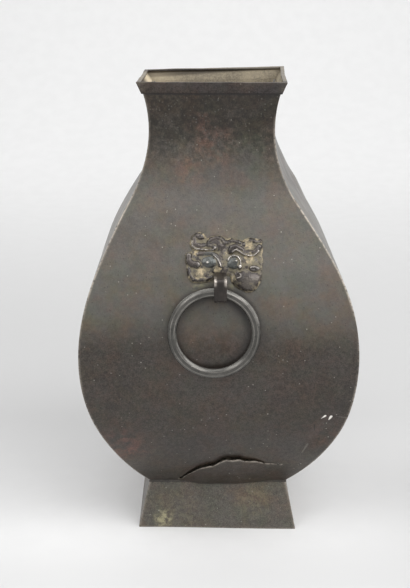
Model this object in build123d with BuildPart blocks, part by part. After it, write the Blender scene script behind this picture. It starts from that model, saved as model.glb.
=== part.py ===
from build123d import *
import os
from math import acos, atan2, cos, degrees, hypot, radians, sin, sqrt

os.makedirs("parts", exist_ok=True)

# A square bronze hu: four bent sheet walls, a floor, a splayed foot and a rim
# collar soldered into one vessel, with a cast mask, a strap staple and a loose
# ring on the front and on the back.
# Millimetres. +Z is up, the front faces -Y, and the origin is the middle of
# the square that the foot stands on.

# Body, as full widths across the flats and as the rise from one level to the next
joint_width = 111.6
lower_width = 182.8
belly_width = 210.6
shoulder_width = 177.2
neck_width = 127.0
mouth_width = 103.0
lower_rise = 55.1
belly_rise = 63.9
shoulder_rise = 70.0
neck_rise = 43.7
mouth_rise = 79.6
wall = 1.8

# Foot and floor: the foot splays out from the body's lower edge
foot_splay = 7.5
foot_height = 36.8
foot_wall = 2.0
floor_thickness = 1.8

# Rim collar: how far its lower edge steps out from the mouth, how far its top
# flares beyond that, and how much of the wall's top edge it sits on
rim_step = 1.1
rim_flare = 4.0
rim_seat = 1.3
rim_height = 9.1
rim_edge_radius = 0.4

# Solder that joins the sheets, and the film of it under the masks
solder_bead = 1.5
solder_film = 0.1

# Rings, straps and masks
ring_diameter = 68.5
ring_wire = 6.4
ring_sides = 8
ring_edge_radius = 0.8
ring_lean = 8.5
ring_rest_gap = 0.3
eye_rise = 54.8
eye_reach = 11.5
eye_clearance = 1.8
strap_width = 9.4
strap_thickness = 1.7
strap_root_rise = 10.1
strap_shift = 1.0
leg_width = 6.0
leg_clearance = 0.2
clench_length = 8.0
mask_shift = 4.4
mask_rise = 73.1
mask_plaque = 2.0
mask_ridges = 3.6
mask_eyes = 5.0
stroke_width = 2.4

# Levels that follow from the sizes above
floor_top = foot_height + floor_thickness
lower_level = floor_top + lower_rise
belly_level = lower_level + belly_rise
shoulder_level = belly_level + shoulder_rise
neck_level = shoulder_level + neck_rise
mouth_level = neck_level + mouth_rise
reach = 2 * max(belly_width, joint_width, mouth_width)

# The sides of the square in order round the vessel, from the one that faces +X
SIDES = ("right", "back", "left", "front")
HANDLED_SIDES = ("front", "back")


def facing(side):
    """Direction that a side faces, in degrees from +X."""
    return 360 * SIDES.index(side) / len(SIDES)


def side_plane(turn, across=0.0):
    """Upright section plane of a side: local x is outward and local y is up."""
    out = Vector(cos(radians(turn)), sin(radians(turn)), 0)
    along = Vector(-out.Y, out.X, 0)
    return Plane(origin=along * across, x_dir=out, z_dir=-along)


def face_plane(turn, level=0.0):
    """Plane through the vessel's axis that looks out of a side: local x runs along it, local y is up."""
    out = Vector(cos(radians(turn)), sin(radians(turn)), 0)
    return Plane(origin=(0, 0, level), x_dir=(-out.Y, out.X, 0), z_dir=out)


def turned_past(tangent, chord):
    """Direction of a tangent arc at its far end: the start direction mirrored in the chord."""
    along = chord.normalized()
    return along * (2 * tangent.dot(along)) - tangent


def body_stations():
    """Points of the wall's outer edge from the floor to the mouth, each with its upward tangent."""
    joint = Vector(joint_width / 2, floor_top)
    lower = Vector(lower_width / 2, lower_level)
    belly = Vector(belly_width / 2, belly_level)
    shoulder = Vector(shoulder_width / 2, shoulder_level)
    neck = Vector(neck_width / 2, neck_level)
    mouth = Vector(mouth_width / 2, mouth_level)
    up = Vector(0, 1)
    at_lower = -turned_past(-up, lower - belly)
    at_joint = -turned_past(-at_lower, joint - lower)
    at_shoulder = turned_past(up, shoulder - belly)
    at_neck = turned_past(at_shoulder, neck - shoulder)
    at_mouth = turned_past(at_neck, mouth - neck)
    points = [joint, lower, belly, shoulder, neck, mouth]
    tangents = [at_joint, at_lower, up, at_shoulder, at_neck, at_mouth]
    return points, tangents


def wall_curve(distance):
    """Draws the wall's edge moved outward by a distance, run on straight past the floor and the mouth."""
    points, tangents = body_stations()
    run_on = 4 * (wall + abs(distance))
    moved = [p + Vector(t.Y, -t.X) * distance for p, t in zip(points, tangents)]
    first = moved[0] - tangents[0] * run_on
    last = moved[-1] + tangents[-1] * run_on
    Line(first, moved[0])
    for start, end, tangent in zip(moved, moved[1:], tangents):
        TangentArc(start, end, tangent=tangent)
    Line(moved[-1], last)
    return first, last


def wall_band(inner, outer):
    """Face between the wall's edge moved by two distances; negative distances lie inside the vessel."""
    with BuildSketch() as band:
        with BuildLine():
            first_in, last_in = wall_curve(inner)
            first_out, last_out = wall_curve(outer)
            Line(first_in, first_out)
            Line(last_in, last_out)
        make_face()
    return band.sketch


def quarter(turn):
    """Draws the quarter of the square that belongs to one side, between the diagonals of the mitres."""
    Polygon((0, 0), (reach, -reach), (reach, reach), rotation=turn, align=None)


# The upper belly is one arc, and the ring leans on it
belly_drop = (belly_width - shoulder_width) / 2
belly_radius = (belly_drop**2 + shoulder_rise**2) / (2 * belly_drop)
belly_centre = belly_width / 2 - belly_radius


def belly_half(level):
    """Outer half width of the body between the belly and the shoulder."""
    return belly_centre + sqrt(belly_radius**2 - (level - belly_level) ** 2)


eye_level = belly_level + eye_rise
eye_out = belly_half(eye_level) + eye_reach
eye_radius = ring_wire / 2 + eye_clearance
root_level = eye_level + strap_root_rise
under_level = eye_level - eye_radius
mask_level = belly_level + mask_rise

# Where a plumb ring would sink into the belly, it tips out until it just clears it
wire_path = belly_radius + ring_wire / 2 + ring_rest_gap
eye_distance = hypot(eye_out - belly_centre, eye_rise)
clear_tip = atan2(eye_rise, eye_out - belly_centre) - acos(min(1, wire_path / eye_distance))
ring_tip = max(0, degrees(clear_tip))
ring_radius = (ring_diameter - ring_wire) / 2


# Tear in the lower front wall: its two lips, as places along the wall and above the floor
TEAR_UPPER = [(-27.0, 8.0), (-18.3, 18.0), (-3.1, 22.8), (5.4, 29.8), (16.6, 29.8), (20.0, 27.3)]
TEAR_LOWER = [(21.3, 25.0), (17.6, 26.8), (6.8, 26.8), (-4.0, 18.7), (-15.0, 15.4), (-28.0, 3.5)]
tear_left_end = (-31.0, 2.0)
tear_right_end = (43.6, 22.5)


def leg_slots(clearance):
    """Draws where the strap's two legs pass through the wall, seen from outside."""
    width = leg_width + 2 * clearance
    depth = strap_thickness + 2 * clearance
    with Locations((strap_shift, root_level + strap_thickness / 2)):
        Rectangle(width, depth)
    with Locations((strap_shift, under_level - strap_thickness / 2)):
        Rectangle(width, depth)


# Body walls
for side in SIDES:
    turn = facing(side)
    with BuildPart() as body_wall:
        with BuildSketch(side_plane(turn)):
            add(wall_band(-wall, 0))
        extrude(amount=reach, both=True)
        with BuildSketch(Plane.XY.offset(floor_top)):
            quarter(turn)
        extrude(amount=mouth_level - floor_top, mode=Mode.INTERSECT)
        if side in HANDLED_SIDES:
            with BuildSketch(face_plane(turn)):
                leg_slots(leg_clearance)
            extrude(amount=reach, mode=Mode.SUBTRACT)
        if side == "front":
            with BuildSketch(face_plane(turn, floor_top)):
                with BuildLine():
                    Polyline(tear_left_end, *TEAR_UPPER, tear_right_end, *TEAR_LOWER, close=True)
                make_face()
            extrude(amount=reach, mode=Mode.SUBTRACT)
    body_wall.part.label = f"{side}_wall"
    export_step(body_wall.part, f"parts/{side}_wall.step")

# Floor plate, between the walls and the foot
with BuildPart() as floor_plate:
    with BuildSketch(Plane.XY.offset(foot_height)):
        Rectangle(joint_width, joint_width)
    extrude(amount=floor_thickness)
floor_plate.part.label = "floor_plate"
export_step(floor_plate.part, "parts/floor_plate.step")

# Foot panels
foot_top = joint_width / 2
foot_outline = [
    (foot_top + foot_splay, 0),
    (foot_top, foot_height),
    (foot_top - foot_wall, foot_height),
    (foot_top + foot_splay - foot_wall, 0),
]
for side in SIDES:
    turn = facing(side)
    with BuildPart() as foot_panel:
        with BuildSketch(side_plane(turn)):
            Polygon(*foot_outline, align=None)
        extrude(amount=reach, both=True)
        with BuildSketch(Plane.XY):
            quarter(turn)
        extrude(amount=foot_height, mode=Mode.INTERSECT)
    foot_panel.part.label = f"foot_{side}"
    export_step(foot_panel.part, f"parts/foot_{side}.step")

# Rim collar
mouth_half = mouth_width / 2
rim_outline = [
    (mouth_half + rim_step, mouth_level),
    (mouth_half + rim_step + rim_flare, mouth_level + rim_height),
    (mouth_half - rim_seat, mouth_level + rim_height),
    (mouth_half - rim_seat, mouth_level),
]
for side in SIDES:
    turn = facing(side)
    with BuildPart() as rim_strip:
        with BuildSketch(side_plane(turn)) as rim_section:
            Polygon(*rim_outline, align=None)
            fillet(rim_section.vertices().group_by(Axis.Z)[-1], radius=rim_edge_radius)
        extrude(amount=reach, both=True)
        with BuildSketch(Plane.XY.offset(mouth_level)):
            quarter(turn)
        extrude(amount=rim_height, mode=Mode.INTERSECT)
    rim_strip.part.label = f"rim_{side}"
    export_step(rim_strip.part, f"parts/rim_{side}.step")

# Solder in the four upright corners of the body
with BuildPart() as corner_bead:
    with BuildSketch(side_plane(facing("right"))):
        add(wall_band(-wall - solder_bead, -wall - solder_film))
    extrude(amount=reach, both=True)
    with BuildSketch(side_plane(facing("back"))):
        add(wall_band(-wall - solder_bead, -wall - solder_film))
    extrude(amount=reach, both=True, mode=Mode.INTERSECT)
    with BuildSketch(Plane.XY.offset(floor_top + solder_bead + solder_film)):
        Rectangle(reach, reach)
    extrude(amount=mouth_level - floor_top - solder_bead - solder_film, mode=Mode.INTERSECT)
with BuildPart() as wall_solder:
    for side in SIDES:
        add(corner_bead.part, rotation=(0, 0, facing(side)))
wall_solder.part.label = "wall_solder"
export_step(wall_solder.part, "parts/wall_solder.step")

# Solder between the floor and the walls
with BuildPart() as floor_bead:
    with BuildSketch(side_plane(facing("right"))):
        add(wall_band(-wall - 2 * solder_bead, -wall - solder_film))
    extrude(amount=reach, both=True)
    with BuildSketch(Plane.XY.offset(floor_top)):
        quarter(facing("right"))
    extrude(amount=solder_bead, mode=Mode.INTERSECT)
with BuildPart() as floor_solder:
    for side in SIDES:
        add(floor_bead.part, rotation=(0, 0, facing(side)))
floor_solder.part.label = "floor_solder"
export_step(floor_solder.part, "parts/floor_solder.step")

# Solder under the floor, along the top of the foot
bead_spread = foot_splay * solder_bead / foot_height
foot_inner = foot_top - foot_wall
with BuildPart() as foot_bead:
    with BuildSketch(side_plane(facing("right"))):
        Polygon(
            (foot_inner, foot_height),
            (foot_inner + bead_spread, foot_height - solder_bead),
            (foot_inner - solder_bead, foot_height),
            align=None,
        )
    extrude(amount=reach, both=True)
    with BuildSketch(Plane.XY.offset(foot_height - solder_bead)):
        quarter(facing("right"))
    extrude(amount=solder_bead, mode=Mode.INTERSECT)
with BuildPart() as foot_solder:
    for side in SIDES:
        add(foot_bead.part, rotation=(0, 0, facing(side)))
foot_solder.part.label = "foot_solder"
export_step(foot_solder.part, "parts/foot_solder.step")

# Mask relief, placed along the wall and up from the mask's middle.
# Lobes are ellipses: place, half width, half height and tilt. Strokes are arcs: start, middle and end
PLAQUE_LOBES = [
    (-19.0, 12.5, 6.5, 8.0, 0),
    (-5.0, 10.5, 11.0, 7.5, 0),
    (9.0, 9.0, 9.0, 7.0, 0),
    (20.0, 8.5, 7.5, 8.0, 0),
    (-20.0, 0.0, 10.5, 8.5, 0),
    (-17.5, -8.0, 10.5, 7.0, -15),
    (16.0, -11.0, 11.5, 9.0, -20),
    (0.0, 0.0, 24.0, 10.0, 0),
]
CHEEK_LOBES = [
    (-4.5, 11.5, 5.5, 5.0, 0),
    (17.0, -12.0, 8.5, 6.0, -30),
    (22.0, -4.5, 4.4, 2.4, 0),
]
EYE_LOBES = [
    (-10.4, 0.5, 4.6, 3.6, 0),
    (7.0, -1.2, 4.6, 3.6, 0),
    (-2.0, 1.0, 2.6, 5.5, 0),
]
STROKES = [
    [(-15.5, 17.0), (-23.2, 14.0), (-18.5, 9.2)],
    [(-18.5, 9.2), (-12.5, 8.8), (-7.0, 9.4)],
    [(-20.0, 6.4), (-10.5, 5.6), (-4.0, -1.5)],
    [(-26.5, 4.0), (-26.0, -1.0), (-20.5, -3.3)],
    [(-26.5, -5.5), (-21.5, -12.6), (-10.0, -11.0)],
    [(1.0, 12.5), (6.4, 14.0), (11.5, 12.2)],
    [(3.4, 6.2), (8.5, 8.3), (14.0, 6.0)],
    [(14.0, 6.0), (20.5, 4.2), (25.5, 8.8)],
    [(14.8, 12.8), (20.0, 14.4), (24.5, 10.5)],
]


def mask_layer(turn, low, high, lobes, strokes=()):
    """Relief between two heights above the wall, with the lobes and strokes as its outline."""
    with BuildPart() as layer:
        with BuildSketch(face_plane(turn)):
            for across, rise, half_width, half_height, tilt in lobes:
                with Locations((mask_shift + across, mask_level + rise)):
                    Ellipse(half_width, half_height, rotation=tilt)
            for arc_points in strokes:
                with BuildLine():
                    ThreePointArc(*[(mask_shift + x, mask_level + y) for x, y in arc_points])
                trace(line_width=stroke_width)
        extrude(amount=reach)
        with BuildSketch(side_plane(turn)):
            add(wall_band(solder_film + low, solder_film + high))
        extrude(amount=reach, both=True, mode=Mode.INTERSECT)
    return layer.part


def strap_outline(margin):
    """Side view of the strap's loop with its root run back past the wall, grown by a margin."""
    bottom = under_level - margin
    top = root_level + margin
    with BuildSketch(mode=Mode.PRIVATE) as outline:
        with Locations((eye_out, eye_level)):
            Circle(eye_radius + margin)
        with Locations((eye_out - 2 * eye_reach - strap_thickness, (bottom + top) / 2)):
            Rectangle(2 * eye_reach, top - bottom)
        make_hull()
    return outline.sketch


for side in HANDLED_SIDES:
    turn = facing(side)
    section = side_plane(turn, strap_shift)

    plaque = mask_layer(turn, 0, mask_plaque, PLAQUE_LOBES)
    ridges = mask_layer(turn, mask_plaque / 2, mask_ridges, CHEEK_LOBES, STROKES)
    eyes = mask_layer(turn, mask_plaque / 2, mask_eyes, EYE_LOBES)
    with BuildPart() as mask:
        add(plaque)
        add(ridges)
        add(eyes)
        with BuildSketch(section):
            add(strap_outline(strap_thickness + leg_clearance))
        extrude(amount=strap_width / 2 + leg_clearance, both=True, mode=Mode.SUBTRACT)
    mask.part.label = f"mask_{side}"
    export_step(mask.part, f"parts/mask_{side}.step")

    # Legs through the wall and the ends clenched over inside it
    with BuildPart() as legs:
        with BuildSketch(face_plane(turn)):
            leg_slots(0)
            with Locations((strap_shift, root_level + strap_thickness + clench_length / 2)):
                Rectangle(leg_width, clench_length)
            with Locations((strap_shift, under_level - strap_thickness - clench_length / 2)):
                Rectangle(leg_width, clench_length)
        extrude(amount=reach)
        with BuildSketch(section):
            add(wall_band(-wall - solder_film - strap_thickness, -wall - solder_film))
        extrude(amount=reach, both=True, mode=Mode.INTERSECT)
    with BuildPart() as shanks:
        with BuildSketch(face_plane(turn)):
            leg_slots(0)
        extrude(amount=reach)
        with BuildSketch(section):
            add(wall_band(-wall - solder_film - strap_thickness, strap_thickness))
        extrude(amount=reach, both=True, mode=Mode.INTERSECT)

    # Strap bent round the ring, its two legs through the wall
    with BuildPart() as staple:
        with BuildSketch(section):
            add(strap_outline(strap_thickness))
            add(strap_outline(0), mode=Mode.SUBTRACT)
        extrude(amount=strap_width / 2, both=True)
        with BuildSketch(section):
            add(wall_band(-4 * eye_reach, solder_film))
        extrude(amount=reach, both=True, mode=Mode.SUBTRACT)
        add(shanks.part)
        add(legs.part)
    staple.part.label = f"staple_{side}"
    export_step(staple.part, f"parts/staple_{side}.step")

    # Ring, hung on the strap and tipped out so that it lies on the belly
    along = Vector(face_plane(turn).x_dir)
    out = Vector(face_plane(turn).z_dir)
    up = Vector(0, 0, 1)
    eye = along * strap_shift + out * eye_out + up * eye_level
    ring_axis = out * cos(radians(ring_tip)) + up * sin(radians(ring_tip))
    hang = (out * sin(radians(ring_tip)) - up * cos(radians(ring_tip))) * cos(radians(ring_lean))
    ring_centre = eye + (hang - along * sin(radians(ring_lean))) * ring_radius
    with BuildPart() as ring:
        with BuildSketch(Plane(origin=ring_centre, x_dir=along, z_dir=along.cross(ring_axis))) as ring_section:
            with Locations((ring_radius, 0)):
                RegularPolygon(ring_wire / 2, ring_sides, major_radius=False, rotation=180 / ring_sides)
            fillet(ring_section.vertices(), radius=ring_edge_radius)
        revolve(axis=Axis(ring_centre, ring_axis))
    ring.part.label = f"ring_{side}"
    export_step(ring.part, f"parts/ring_{side}.step")
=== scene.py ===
from math import atan2, copysign, cos, exp, hypot, pi, radians, sin, tan

import bmesh
import bpy
import numpy as np
from mathutils import Matrix, Vector, noise


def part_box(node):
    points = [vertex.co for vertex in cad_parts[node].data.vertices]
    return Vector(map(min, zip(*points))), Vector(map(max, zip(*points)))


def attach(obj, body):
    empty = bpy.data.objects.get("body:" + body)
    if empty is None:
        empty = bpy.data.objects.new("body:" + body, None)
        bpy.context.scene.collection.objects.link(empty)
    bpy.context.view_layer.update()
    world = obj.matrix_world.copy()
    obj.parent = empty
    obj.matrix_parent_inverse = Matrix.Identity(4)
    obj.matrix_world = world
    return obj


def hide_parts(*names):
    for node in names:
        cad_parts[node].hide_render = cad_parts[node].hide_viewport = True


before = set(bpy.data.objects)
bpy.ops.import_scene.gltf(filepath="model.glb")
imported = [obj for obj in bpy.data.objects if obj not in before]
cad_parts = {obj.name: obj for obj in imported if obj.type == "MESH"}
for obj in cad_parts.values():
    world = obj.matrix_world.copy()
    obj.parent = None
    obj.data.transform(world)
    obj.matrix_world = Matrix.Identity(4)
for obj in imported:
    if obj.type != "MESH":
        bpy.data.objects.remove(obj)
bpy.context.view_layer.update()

# Sizes in metres, from the frame where it has them. A half is half the width across the square
joint_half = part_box("floor_plate")[1].x
floor_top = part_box("floor_plate")[1].z
foot_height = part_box("floor_plate")[0].z
foot_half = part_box("foot_right")[1].x
belly_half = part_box("right_wall")[1].x
mouth_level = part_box("rim_front")[0].z
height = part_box("rim_front")[1].z
rim_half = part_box("rim_right")[1].x
lower_half, lower_level = 0.0914, 0.0937
belly_level = 0.1576
shoulder_half, shoulder_level = 0.0886, 0.2276
neck_half, neck_level = 0.0635, 0.2713
mouth_half = 0.0515
wall = 0.0018
foot_wall = 0.002
rim_inner = 0.0502
rim_foot = 0.0526
solder_bead = 0.0015
solder_film = 0.0001
corner_round = 0.0007

# How the old vessel has gone out of true. The levels of a form are where it starts, is full, fades and ends
lean = -0.0037
lean_start, lean_end = 0.19, 0.30
twist = radians(-1.75)
twist_start, twist_end = 0.225, 0.295
rim_tip, rim_tip_start = 0.0016, 0.33
rim_spread, rim_shift = 0.0017, -0.0007
neck_fullness = 0.0028
neck_full_levels = (0.243, 0.272, 0.284, 0.318)
neck_full_depths = (-0.03, 0.06)
corner_bulge = 0.0018
corner_bulge_levels = (0.03, 0.075, 0.085, 0.15)
corner_bulge_depths = (-0.05, 0.06)
foot_skew = -0.0011
foot_splay = Vector((0.0012, -0.0036))

SIDES = ("right", "back", "left", "front")
HANDLED_SIDES = ("front", "back")


def smooth(low, high, value):
    """Rises smoothly from 0 at low to 1 at high."""
    t = min(1, max(0, (value - low) / (high - low)))
    return t * t * (3 - 2 * t)


def between(start, full, fade, end, value):
    """Rises smoothly from start to full, and falls again from fade to end."""
    return smooth(start, full, value) * (1 - smooth(fade, end, value))


def mix(low, high, t):
    """Value a part t of the way from low to high."""
    return low + (high - low) * t


def waver(x, y, z):
    """Uneven number, from about -1 to 1, that changes smoothly from place to place."""
    return noise.noise(Vector((x, y, z)))


def side_turn(side):
    """Turn about the vessel's axis that brings a piece made at the front to its own side."""
    quarters = SIDES.index(side) - SIDES.index("front")
    return Matrix.Rotation(quarters * pi / 2, 3, "Z")


def twist_at(level):
    """Angle by which the old vessel is twisted at a level."""
    return twist * smooth(twist_start, twist_end, level)


def settle(point):
    """Leans and twists a point of the body as the old vessel has, with the back of its rim tipped."""
    settled = Matrix.Rotation(twist_at(point.z), 3, "Z") @ point
    settled.x += lean * smooth(lean_start, lean_end, point.z)
    back = max(0, point.y / rim_half) * smooth(rim_tip_start, height, point.z)
    settled.z += rim_tip * back * point.x / rim_half
    settled.x += (rim_spread * point.x / rim_half + rim_shift) * back
    if point.x > 0:
        to_right = point.x / max(point.x, abs(point.y))
        full = between(*neck_full_levels, point.z) * smooth(*neck_full_depths, point.y)
        bulge = between(*corner_bulge_levels, point.z) * (1 - smooth(*corner_bulge_depths, point.y))
        settled.x += (neck_fullness * full + corner_bulge * bulge) * to_right**3
    return settled


# Profile of the wall's outer face: tangent arcs out from the widest line, up to the mouth and down to
# the foot


class Arc:
    """Arc of the profile from a start, in a direction, to an end. Points are half width and level."""

    def __init__(self, start, direction, end):
        chord = end - start
        left = Vector((-direction.y, direction.x))
        self.start = start
        self.start_direction = direction
        self.radius = chord.length_squared / (2 * chord.dot(left))
        self.centre = start + left * self.radius
        self.length = 2 * atan2(chord.dot(left), chord.dot(direction)) * self.radius

    def turned(self, distance):
        return Matrix.Rotation(distance / self.radius, 2)

    def point(self, distance):
        return self.centre + self.turned(distance) @ (self.start - self.centre)

    def direction(self, distance):
        return self.turned(distance) @ self.start_direction

    def reversed(self):
        return Arc(self.point(self.length), -self.direction(self.length), self.start)


def profile_arcs():
    """Arcs of the profile in order from the foot joint to the mouth."""
    up = Vector((0, 1))
    joint = Vector((joint_half, floor_top))
    lower = Vector((lower_half, lower_level))
    belly = Vector((belly_half, belly_level))
    shoulder = Vector((shoulder_half, shoulder_level))
    neck = Vector((neck_half, neck_level))
    mouth = Vector((mouth_half, mouth_level))
    under_belly = Arc(belly, -up, lower)
    above_joint = Arc(lower, under_belly.direction(under_belly.length), joint)
    above_belly = Arc(belly, up, shoulder)
    above_shoulder = Arc(shoulder, above_belly.direction(above_belly.length), neck)
    above_neck = Arc(neck, above_shoulder.direction(above_shoulder.length), mouth)
    return [above_joint.reversed(), under_belly.reversed(), above_belly, above_shoulder, above_neck]


ARCS = profile_arcs()
profile_length = sum(arc.length for arc in ARCS)


def profile(along):
    """Point of the profile at a distance along it from the foot joint, and its outward normal."""
    for arc in ARCS:
        if along <= arc.length or arc is ARCS[-1]:
            direction = arc.direction(along)
            return arc.point(along), Vector((direction.y, -direction.x))
        along -= arc.length


def along_at(level):
    """Distance along the profile at which it reaches a level, by halving."""
    low, high = 0.0, profile_length
    for _ in range(30):
        middle = (low + high) / 2
        if profile(middle)[0].y < level:
            low = middle
        else:
            high = middle
    return low


# Making and handing over pieces


def hand_over(name, bm, node, materials, body="vessel", sharp_angle=40):
    """Makes a piece of a bmesh: it stands for a node, rides on a body and takes a slot's finish."""
    bmesh.ops.recalc_face_normals(bm, faces=bm.faces)
    mesh = bpy.data.meshes.new(name)
    bm.to_mesh(mesh)
    bm.free()
    for material in materials:
        mesh.materials.append(material)
    mesh.shade_smooth()
    mesh.set_sharp_from_angle(angle=radians(sharp_angle))
    piece = bpy.data.objects.new(name, mesh)
    bpy.context.scene.collection.objects.link(piece)
    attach(piece, body)
    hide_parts(node)
    return piece


def wear_and_shine_layer(bm):
    """Layer on the vertices of worn brightness, also painted highlight on the strap's bend and the tear's
    lip.
    """
    return bm.verts.layers.float.get("wear_and_shine") or bm.verts.layers.float.new("wear_and_shine")


def round_off(bm, geom, offset, segments, affect="EDGES"):
    """Rounds some edges or corners of a shape."""
    bmesh.ops.bevel(bm, geom=geom, offset=offset, offset_type="OFFSET", segments=segments, profile=0.5,
                    affect=affect, material=-1)


def drawn_out(bm, faces):
    """Extrudes faces, which stay, and returns the vertices of the new ones."""
    grown = bmesh.ops.extrude_face_region(bm, geom=faces, use_keep_orig=True)["geom"]
    return [item for item in grown if isinstance(item, bmesh.types.BMVert)]


def edges_along(bm, axis, least):
    """Edges that run further than a least distance along an axis."""
    return [edge for edge in bm.edges if abs(edge.verts[0].co[axis] - edge.verts[1].co[axis]) > least]


# A flat pattern keeps u, from -1 to 1 across the panel, as x over half_pattern, and the way up it as y
half_pattern = 0.1
edge_gather = 0.15


def gathered(u):
    """Moves the columns of a pattern closer together towards its two side edges."""
    inside = 1 - abs(u)
    return copysign(1 - inside * inside * (1 + edge_gather) / (inside + edge_gather), u)


def flat_pattern(columns, rows, length):
    """Flat grid from which a panel is bent."""
    bm = bmesh.new()
    bmesh.ops.create_grid(bm, x_segments=columns, y_segments=rows, size=1)
    for vert in bm.verts:
        vert.co = Vector((gathered(vert.co.x) * half_pattern, (vert.co.y + 1) / 2 * length, 0))
    return bm


def thicken(bm, thickness, bevel, is_bevelled):
    """Gives a flat pattern its thickness below z = 0 and rounds the chosen edges of its outer face."""
    bmesh.ops.recalc_face_normals(bm, faces=bm.faces)
    bmesh.ops.solidify(bm, geom=bm.faces[:], thickness=thickness)
    top = max(vert.co.z for vert in bm.verts)
    for vert in bm.verts:
        vert.co.z -= top
    outline = []
    for edge in bm.edges:
        if all(abs(vert.co.z) < thickness / 4 for vert in edge.verts):
            depths = [face.calc_center_median().z for face in edge.link_faces]
            if min(depths) < -thickness / 4 and is_bevelled(edge):
                outline.append(edge)
    round_off(bm, outline, bevel, 2)
    for face in bm.faces:
        is_inner = face.calc_center_median().z < -0.9 * thickness
        face.material_index = 1 if is_inner else 0


def corner_drop(u, half):
    """How far inside the sharp corner of the square its worn, rounded corner lies."""
    inside = (1 - abs(u)) * half
    if inside >= corner_round:
        return 0
    return corner_round * (1 - cos((1 - inside / corner_round) * pi / 4))


# Body walls

front_columns, front_rows = 132, 225
plain_columns, plain_rows = 96, 168
wall_seed_step = 13.7
sheet_bevel, bevelled_below = 0.0002, 0.06
cut_fade = 0.012
wall_waviness = 0.0003
wave_scale, ripple_scale = 22, 60
ripple_share = 0.4
corner_wear_scale = 35
corner_wear_edge = (0.0002, 0.0019)
shoulder_wear_levels = (0.185, 0.205, 0.27, 0.3)


def from_cut(along):
    """1 inside a wall, falling to 0 at its lower and upper cut edges."""
    return smooth(0, cut_fade, along) * smooth(0, cut_fade, profile_length - along)


def inward(along, normal):
    """Direction of a wall's thickness: square to its face, but level at its cut edges."""
    return Vector((1 / normal.x, 0)).lerp(normal, from_cut(along))


def off_corners(u, power):
    """1 over most of a panel, falling to 0 at its two side edges."""
    return 1 - abs(u) ** power


def wall_point(u, along, depth, seed):
    """Point of a wall of the new vessel, made at the front; depth is measured inward."""
    edge, normal = profile(along)
    wave = waver(u * edge.x * wave_scale, along * wave_scale, seed)
    wave += ripple_share * waver(u * edge.x * ripple_scale, along * ripple_scale, seed + 7)
    depth += wall_waviness * wave * off_corners(u, 6) * from_cut(along)
    depth += corner_drop(u, edge.x) * (1 - depth / wall)
    half, level = edge - inward(along, normal) * depth
    return Vector((u * half, -half, level))


def corner_wear(u, half, along, seed):
    """Bright wear along the upright corners, in patches, and stronger at the shoulders."""
    inside = (1 - abs(u)) * half
    patchy = 0.5 + 0.9 * waver(along * corner_wear_scale, seed, copysign(3, u))
    patchy += 0.5 * between(*shoulder_wear_levels, profile(along)[0].y)
    return max(0, patchy) * (1 - smooth(*corner_wear_edge, inside))


def bend_wall(bm, side, seed, age=None):
    """Bends a thickened pattern into a wall of the old vessel."""
    wear_and_shine = wear_and_shine_layer(bm)
    turn = side_turn(side)
    for vert in bm.verts:
        u = vert.co.x / half_pattern
        along = vert.co.y
        depth = -vert.co.z
        half = profile(along)[0].x
        vert[wear_and_shine] = corner_wear(u, half, along, seed) if depth < wall / 2 else 0
        place = wall_point(u, along, depth, seed)
        if age:
            place = age(place, along, vert, wear_and_shine)
        vert.co = settle(turn @ place)


def slot_faces(bm, level):
    """Faces of a wall pattern where a leg of the strap goes through."""
    along = along_at(level)
    half = profile(along)[0].x
    row = min((face.calc_center_median().y for face in bm.faces), key=lambda y: abs(y - along))
    found = []
    for face in bm.faces:
        centre = face.calc_center_median()
        across = centre.x / half_pattern * half
        if abs(centre.y - row) < 1e-5 and abs(across - strap_shift) < leg_width / 2:
            found.append(face)
    return found


# Tear low in the front wall: places of its two lips across the wall, with their levels, in millimetres
TEAR_LOWER = [(-33, 39.6), (-28.6, 41.3), (-24.4, 46.6), (-20.4, 49.5), (-15, 54), (-7, 57.2), (-4, 57.3),
              (0.9, 61.9), (6.8, 65.4), (11.4, 64.6), (17.6, 65.4), (21.3, 63.6), (29.9, 63.6),
              (34.5, 62.4), (38, 60.9), (43.6, 60.5), (50, 59.6)]
TEAR_UPPER = [(-33, 39.6), (-27.2, 44.9), (-23.1, 50.1), (-18.3, 54.7), (-13.6, 58.0), (-7, 60.2),
              (-3.1, 61.4), (1.5, 65.4), (5.4, 68.4), (10.7, 68), (16.6, 68.4), (20, 65.9), (29.8, 65),
              (34.5, 63), (38, 61.3), (43.6, 60.7), (50, 59.6)]
tear_start, tear_end = -0.0318, 0.0475
tear_end_fade = 0.004
tear_open_half = 0.012
tear_row = 16
tear_half = 0.066
tear_fade_up, tear_fade_aside = 0.06, 0.03
lip_raggedness, lip_ragged_scale = 0.0005, 450
flap_zone = 0.09
flap_lip_out = 0.0036
flap_lip_rise = 0.0015
flap_foot_out = 0.0027
flap_sag = 0.0022
upper_lip_in = 0.0012
upper_lip_drop = 0.0005
upper_lip_reach = 0.02
lip_thickness = 0.0006
lip_taper = 0.004
lip_wear_and_shine_start, lip_wear_and_shine_full = 0.0005, 0.0001
# Crease beside the nicks: its two ends across and up the wall, and where along it the dent starts and ends
crease_start, crease_end = Vector((0.098, 0.121)), Vector((0.0665, 0.0804))
crease_run = (-0.012, 0.012, 0.04, 0.064)
crease_depth, crease_width = 0.0009, 0.006
crease_edge_fade = 0.012


def lip_level(lip, x):
    """Level of a lip of the tear, a little ragged, at a place across the wall."""
    places, levels = zip(*lip)
    level = float(np.interp(x * 1000, places, levels)) / 1000
    inside = between(tear_start, tear_start + tear_end_fade, tear_end - tear_end_fade, tear_end, x)
    return level + lip_raggedness * inside * waver(x * lip_ragged_scale, lip[1][1], 0.5)


def tear_swell(x):
    """How far the tear has opened at a place across the wall, from 0 at its ends to 1."""
    return between(tear_start, -tear_open_half, tear_open_half, tear_end + tear_end_fade, x)


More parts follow.
